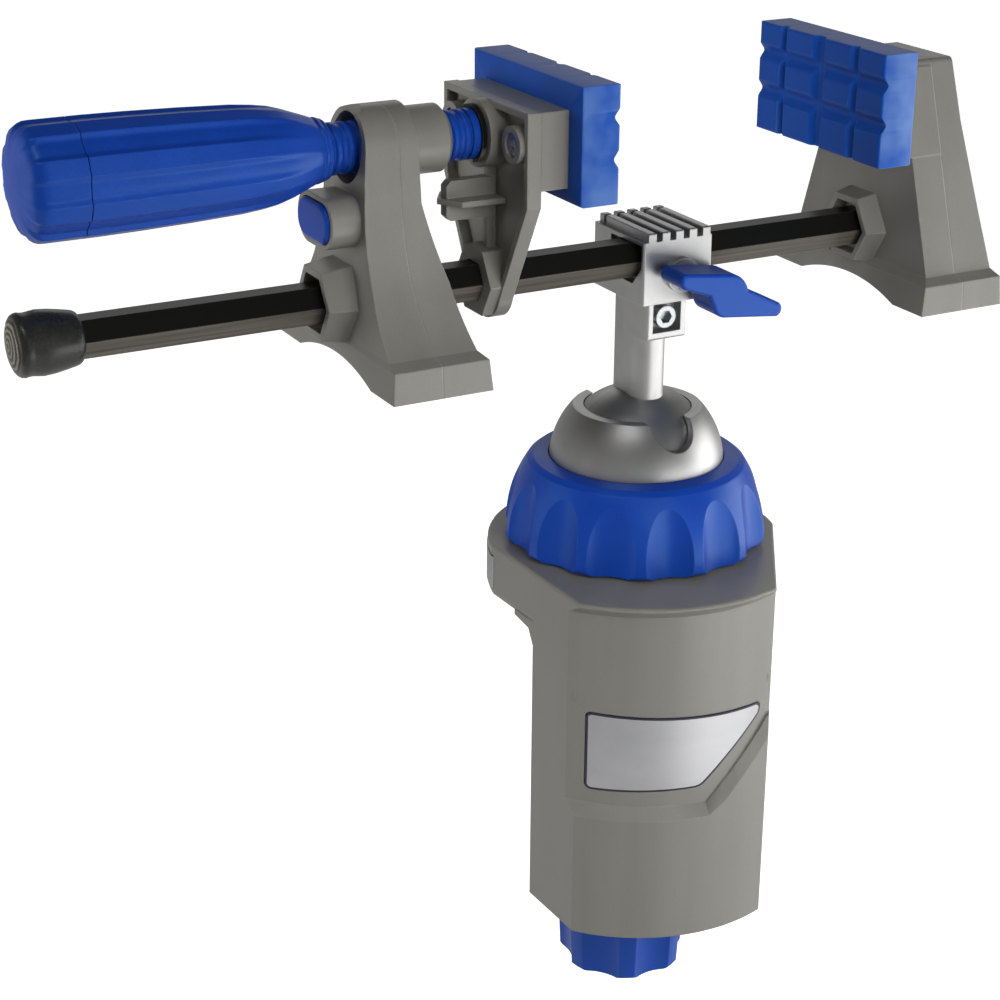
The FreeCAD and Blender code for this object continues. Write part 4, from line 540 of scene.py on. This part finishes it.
def tiled_pad(name, face_x, inward):
    """A pad with its tiles towards the work and a slot for its carrier at the back."""
    skin = bmesh.new()
    across = spaced(-PAD_HALF, PAD_HALF)
    upward = spaced(PAD_LOW, PAD_HIGH)
    grid = [
        [skin.verts.new((face_x - inward * tile_sink(y, z), y + BAR_LINE_Y, z)) for z in upward]
        for y in across
    ]
    for first, second in zip(grid, grid[1:]):
        for low, high in zip(range(len(upward) - 1), range(1, len(upward))):
            skin.faces.new((first[low], second[low], second[high], first[high]))
    around = [(n, 0) for n in range(len(across) - 1)]
    around += [(len(across) - 1, n) for n in range(len(upward) - 1)]
    around += [(n, len(upward) - 1) for n in range(len(across) - 1, 0, -1)]
    around += [(0, n) for n in range(len(upward) - 1, 0, -1)]
    loops = [[grid[column][row] for column, row in around]]
    back = face_x - inward * PAD_DEPTH
    middle = (PAD_LOW + PAD_HIGH) / 2
    back_edge = (
        (back + inward * PAD_EDGE, 0.0),
        (back + inward * PAD_EDGE * 0.3, PAD_EDGE * 0.3),
        (back, PAD_EDGE),
    )
    for x, trim in back_edge:
        share_y, share_z = 1 - trim / PAD_HALF, 1 - trim / (PAD_HIGH - middle)
        places = [
            (x, across[column] * share_y + BAR_LINE_Y, middle + (upward[row] - middle) * share_z)
            for column, row in around
        ]
        loops.append([skin.verts.new(place) for place in places])
    narrowing = SLOT_HALF / PAD_HALF
    rise = (SLOT_HIGH - SLOT_LOW) / (PAD_HIGH - PAD_LOW)
    for x in (back, back + inward * SLOT_DEEP):
        places = [
            (x, across[column] * narrowing + BAR_LINE_Y, SLOT_LOW + (upward[row] - PAD_LOW) * rise)
            for column, row in around
        ]
        loops.append([skin.verts.new(place) for place in places])
    for first, second in zip(loops, loops[1:]):
        for number in range(len(around)):
            following = (number + 1) % len(around)
            skin.faces.new((first[number], second[number], second[following], first[following]))
    skin.faces.new(loops[-1])
    bmesh.ops.recalc_face_normals(skin, faces=skin.faces)
    for face in skin.faces:
        face.smooth = True
    return finished_piece(name, skin, urethane)


urethane, tree, shader, place, grained, edged = dressed_surface(
    "blue_urethane", 900.0, 0.00001, 0.0005, (1, 1, 1)
)
shader.inputs["Subsurface Weight"].default_value = 0.12
shader.inputs["Subsurface Radius"].default_value = (0.0004, 0.0012, 0.004)
facing = put(tree, "SeparateXYZ", {"Vector": put(tree, "TexCoord").outputs["Normal"]}).outputs["Y"]
facing_end = put(tree, "Math", {0: facing}, operation="ABSOLUTE").outputs[0]
end_share = put(tree, "MapRange", {"Value": facing_end, "From Min": 0.8, "From Max": 0.98})
patches = put(tree, "TexNoise", {"Vector": place, "Scale": 75.0, "Detail": 2.0})
patchy = put(tree, "MapRange", {"Value": patches.outputs["Fac"], "From Min": 0.36, "From Max": 0.62})
# Painted sheen: faces turned along Y, the pad's ends, get a whitish colour in patches for the light's haze
# on them.
painted_sheen_share = scaled(tree, scaled(tree, end_share.outputs["Result"], patchy.outputs["Result"]), 0.5)
sheened_urethane = blended(tree, painted_sheen_share, URETHANE, PAINTED_END_SHEEN)
# Painted light: the edge mask lightens the pad's thin edges towards pale blue for light coming through them.
coloured = blended(tree, scaled(tree, edged["Edge"], 0.8), sheened_urethane, URETHANE_LIT_EDGE)
tree.links.new(coloured, shader.inputs["Base Color"])
shader.inputs["Roughness"].default_value = 0.42
shader.inputs["Specular Tint"].default_value = BLUE_SHEEN
stand_for(tiled_pad("movable_pad", MOVABLE_FACE, 1), "movable_jaw_pad")
stand_for(tiled_pad("fixed_pad", FIXED_FACE, -1), "fixed_jaw_pad")


# The cast pieces: the ball's two halves, the cup around it, the bar bracket, its shoe and the fixed carrier.
# They are die-cast aluminium, blasted to an even satin that spreads the reflections.
CAST = (0.56, 0.558, 0.55)
METAL_EDGE = 0.0004


def satin_metal(name, colour, roughness, fineness, grain_depth, stretch=(1, 1, 1), uneven=0.06):
    """Bare metal with a fine blasted or drawn surface. stretch draws its tones out along an axis."""
    material, tree, shader, place, grained, edged = dressed_surface(
        name, fineness, grain_depth, METAL_EDGE, stretch
    )
    shader.inputs["Metallic"].default_value = 1.0
    toned = blended(
        tree,
        grained["Mottle"],
        [c * (1 - uneven) for c in colour],
        [min(1, c * (1 + uneven)) for c in colour],
    )
    tree.links.new(toned, shader.inputs["Base Color"])
    gloss = put(
        tree,
        "MapRange",
        {"Value": grained["Speck"], "To Min": roughness - 0.05, "To Max": roughness + 0.05},
    )
    tree.links.new(gloss.outputs["Result"], shader.inputs["Roughness"])
    return material


cast = satin_metal("blasted_casting", CAST, 0.43, 2600.0, 0.000012)
for name in ("socket_cup", "ball_front", "ball_back", "bar_bracket", "clamp_shoe", "fixed_carrier"):
    finish_node(name, cast)


# The hexagon bar: drawn steel, blackened and oiled, with faint lines along its length.
# The two lower faces carry a painted brown-grey reflection of the pale floor, streaked along the length, and
# the edges are worn to the same brown-grey.
# The lock plate and the spindle's clip have the same finish.
BLACKENED = (0.0045, 0.0045, 0.004)
WEAR_AND_REFLECTION_BROWN = (0.105, 0.095, 0.078)
blackened, tree, shader, place, grained, edged = dressed_surface(
    "blackened_steel", 1500.0, 0.000006, METAL_EDGE, (0.03, 1, 1)
)
lowness = put(tree, "SeparateXYZ", {"Vector": put(tree, "TexCoord").outputs["Normal"]}).outputs["Z"]
# Painted reflection: faces turned downward take the brown-grey, streaked along the length.
downward_reflection = put(tree, "MapRange", {"Value": lowness, "From Min": -0.3, "From Max": -0.48})
lines = put(tree, "Mapping", {"Vector": place, "Scale": (0.02, 1, 1)}).outputs["Vector"]
streaks = put(tree, "TexNoise", {"Vector": lines, "Scale": 900.0, "Detail": 3.0})
streak_share = put(
    tree, "MapRange", {"Value": streaks.outputs["Fac"], "From Min": 0.3, "From Max": 0.7, "To Min": 0.45}
)
reflection_share = scaled(tree, downward_reflection.outputs["Result"], streak_share.outputs["Result"])
blackness = blended(tree, reflection_share, BLACKENED, WEAR_AND_REFLECTION_BROWN)
edge_worn = blended(tree, scaled(tree, edged["Edge"], 0.5), blackness, WEAR_AND_REFLECTION_BROWN)
tree.links.new(edge_worn, shader.inputs["Base Color"])
shader.inputs["Roughness"].default_value = 0.34
shader.inputs["Specular IOR Level"].default_value = 0.2
for name in ("hex_bar", "lock_plate", "retaining_clip"):
    finish_node(name, blackened)


# The bar's end cap: glossy black rubber with a broad rim, and a shallow dome that is scuffed in rings.
# The pads that grip the table are of the same rubber.
RUBBER = (0.010, 0.010, 0.0095)
RUBBER_RUBBED = (0.05, 0.048, 0.042)
SCUFFED = (0.16, 0.145, 0.105)
SCUFF_RINGS = 3600.0
SCUFF_WOBBLE = 6.0
CAP_LEFT = -0.2256
CAP_AROUND = 96
rubber = moulded_plastic("black_rubber", RUBBER, RUBBER_RUBBED, 0.33, 1400.0, 0.00002, 0.15)
for name in ("pad_rubber", "upper_jaw_pad"):
    finish_node(name, rubber)
cap_rubber = moulded_plastic("scuffed_rubber", RUBBER, RUBBER_RUBBED, 0.3, 900.0, 0.00002, 0.2)
tree = cap_rubber.node_tree
shader = tree.nodes["Principled BSDF"]
sleek = shader.inputs["Base Color"].links[0].from_socket
place = put(tree, "TexCoord").outputs["Object"]
from_line = put(tree, "VectorMath", {0: place, 1: BAR_MIDDLE}, operation="SUBTRACT").outputs["Vector"]
parts = put(tree, "SeparateXYZ", {"Vector": from_line}).outputs
flat_place = put(tree, "CombineXYZ", {"Y": parts["Y"], "Z": parts["Z"]}).outputs["Vector"]
radius = put(tree, "VectorMath", {0: flat_place}, operation="LENGTH").outputs["Value"]
wobble = put(tree, "TexNoise", {"Vector": flat_place, "Scale": 160.0, "Detail": 2.0}).outputs["Fac"]
wobbled = scaled(tree, wobble, SCUFF_WOBBLE)
rings = put(tree, "Math", {0: radius, 1: SCUFF_RINGS, 2: wobbled}, operation="MULTIPLY_ADD").outputs[0]
ripple = put(tree, "Math", {0: rings}, operation="SINE").outputs[0]
ringed = put(tree, "MapRange", {"Value": ripple, "From Min": -0.6, "From Max": 0.9}).outputs["Result"]
on_dome = put(
    tree, "MapRange", {"Value": parts["X"], "From Min": CAP_LEFT + 0.0030, "From Max": CAP_LEFT + 0.0022}
)
inside = put(tree, "MapRange", {"Value": radius, "From Min": 0.0088, "From Max": 0.0070})
scuffs = scaled(tree, scaled(tree, on_dome.outputs["Result"], inside.outputs["Result"]), ringed)
tree.links.new(blended(tree, scuffs, sleek, SCUFFED), shader.inputs["Base Color"])
bar_cap_stations = [
    (CAP_LEFT, 0, 0), (CAP_LEFT + 0.0001, 0.0020, 0), (CAP_LEFT + 0.0004, 0.0045, 0),
    (CAP_LEFT + 0.0010, 0.0070, 0), (CAP_LEFT + 0.0016, 0.0084, 0), (CAP_LEFT + 0.0022, 0.0092, 0),
    (CAP_LEFT + 0.0030, 0.00965, 0), (CAP_LEFT + 0.0038, 0.0098, 0), (CAP_LEFT + 0.0048, 0.0096, 0),
    (CAP_LEFT + 0.0060, 0.00955, 0), (CAP_LEFT + 0.0078, 0.0098, 0), (CAP_LEFT + 0.0095, 0.0100, 0),
    (CAP_LEFT + 0.0130, 0.0097, 0), (CAP_LEFT + 0.0165, 0.0091, 0), (CAP_LEFT + 0.0190, 0.0086, 0),
    (CAP_LEFT + 0.0203, 0.0083, 0), (CAP_LEFT + 0.0211, 0.0078, 0), (CAP_LEFT + 0.0216, 0.0071, 0),
    (CAP_LEFT + 0.0216, 0.0068, 0), (CAP_LEFT + 0.0037, 0.0068, 0), (CAP_LEFT + 0.0037, 0, 0),
]


def plain_round(angle, depth):
    """A round section."""
    return 1.0


bar_cap = swept("bar_cap", BAR_MIDDLE, bar_cap_stations, plain_round, cap_rubber, CAP_AROUND)
stand_for(bar_cap, "bar_end_cap")


# The fasteners, the clamp screw, the spring, the pad's plate and the strap in the spine: zinc-bright steel.
# Their satin plating is a little bluer and darker than the castings.
BRIGHT = (0.44, 0.455, 0.47)
bright = satin_metal("bright_steel", BRIGHT, 0.32, 1200.0, 0.000006)
BRIGHT_NODES = (
    "clamp_screw", "knob_pin", "pad_plate", "stem_screw", "stem_nut", "lever_stud", "lever_washer",
    "fixed_support_screws", "drive_support_screws", "bar_end_bolt", "fixed_carrier_screws", "jaw_screws",
    "release_spring", "handle_bolt", "back_cover_screws", "spine_stiffener",
)
for name in BRIGHT_NODES:
    finish_node(name, bright)


# The arm's nut, turned from brass, and the ring that seats the ball, moulded in pale smooth nylon.
# Both are pressed into the clamp body.
BRASS = (0.71, 0.55, 0.28)
PALE_NYLON = (0.70, 0.69, 0.64)
PALE_NYLON_RUBBED = (0.8, 0.79, 0.75)
brass = satin_metal("turned_brass", BRASS, 0.3, 1200.0, 0.000006)
finish_node("arm_nut", brass)
pale_nylon = moulded_plastic("pale_nylon", PALE_NYLON, PALE_NYLON_RUBBED, 0.4)
finish_node("ball_seat", pale_nylon)


# The badges: thin bare plates with a brushed face, glued to the front and to the collar's rim.
# The front one has a fine dark rim.
BADGE = (0.50, 0.50, 0.515)
RIM = (0.012, 0.013, 0.03)
RIM_RUBBED = (0.04, 0.04, 0.06)
RIM_WIDTH = 0.0007
FRONT_FACING = -0.4
badge = satin_metal("brushed_badge", BADGE, 0.42, 1600.0, 0.000004, (0.03, 1, 1), 0.05)
rim = moulded_plastic("dark_rim", RIM, RIM_RUBBED, 0.4)


def rimmed_plate(node_name, width):
    """The CAD plate again with its own rim: the face is inset, and its edge and its sides are dark."""
    skin = bmesh.new()
    skin.from_mesh(nodes[node_name].data)
    bmesh.ops.remove_doubles(skin, verts=skin.verts, dist=1e-6)
    bmesh.ops.dissolve_limit(skin, angle_limit=math.radians(1), verts=skin.verts, edges=skin.edges)
    fronts = [face for face in skin.faces if face.normal.y < FRONT_FACING and abs(face.normal.z) < 0.5]
    for face in skin.faces:
        face.material_index = 1
    for face in fronts:
        face.material_index = 0
    band = bmesh.ops.inset_region(skin, faces=fronts, thickness=width, use_even_offset=True)
    for face in band["faces"]:
        face.material_index = 1
    return finished_piece(node_name + "_plate", skin, badge, rim)


stand_for(rimmed_plate("badge_plate", RIM_WIDTH), "badge_plate")
finish_node("rim_badge", badge)
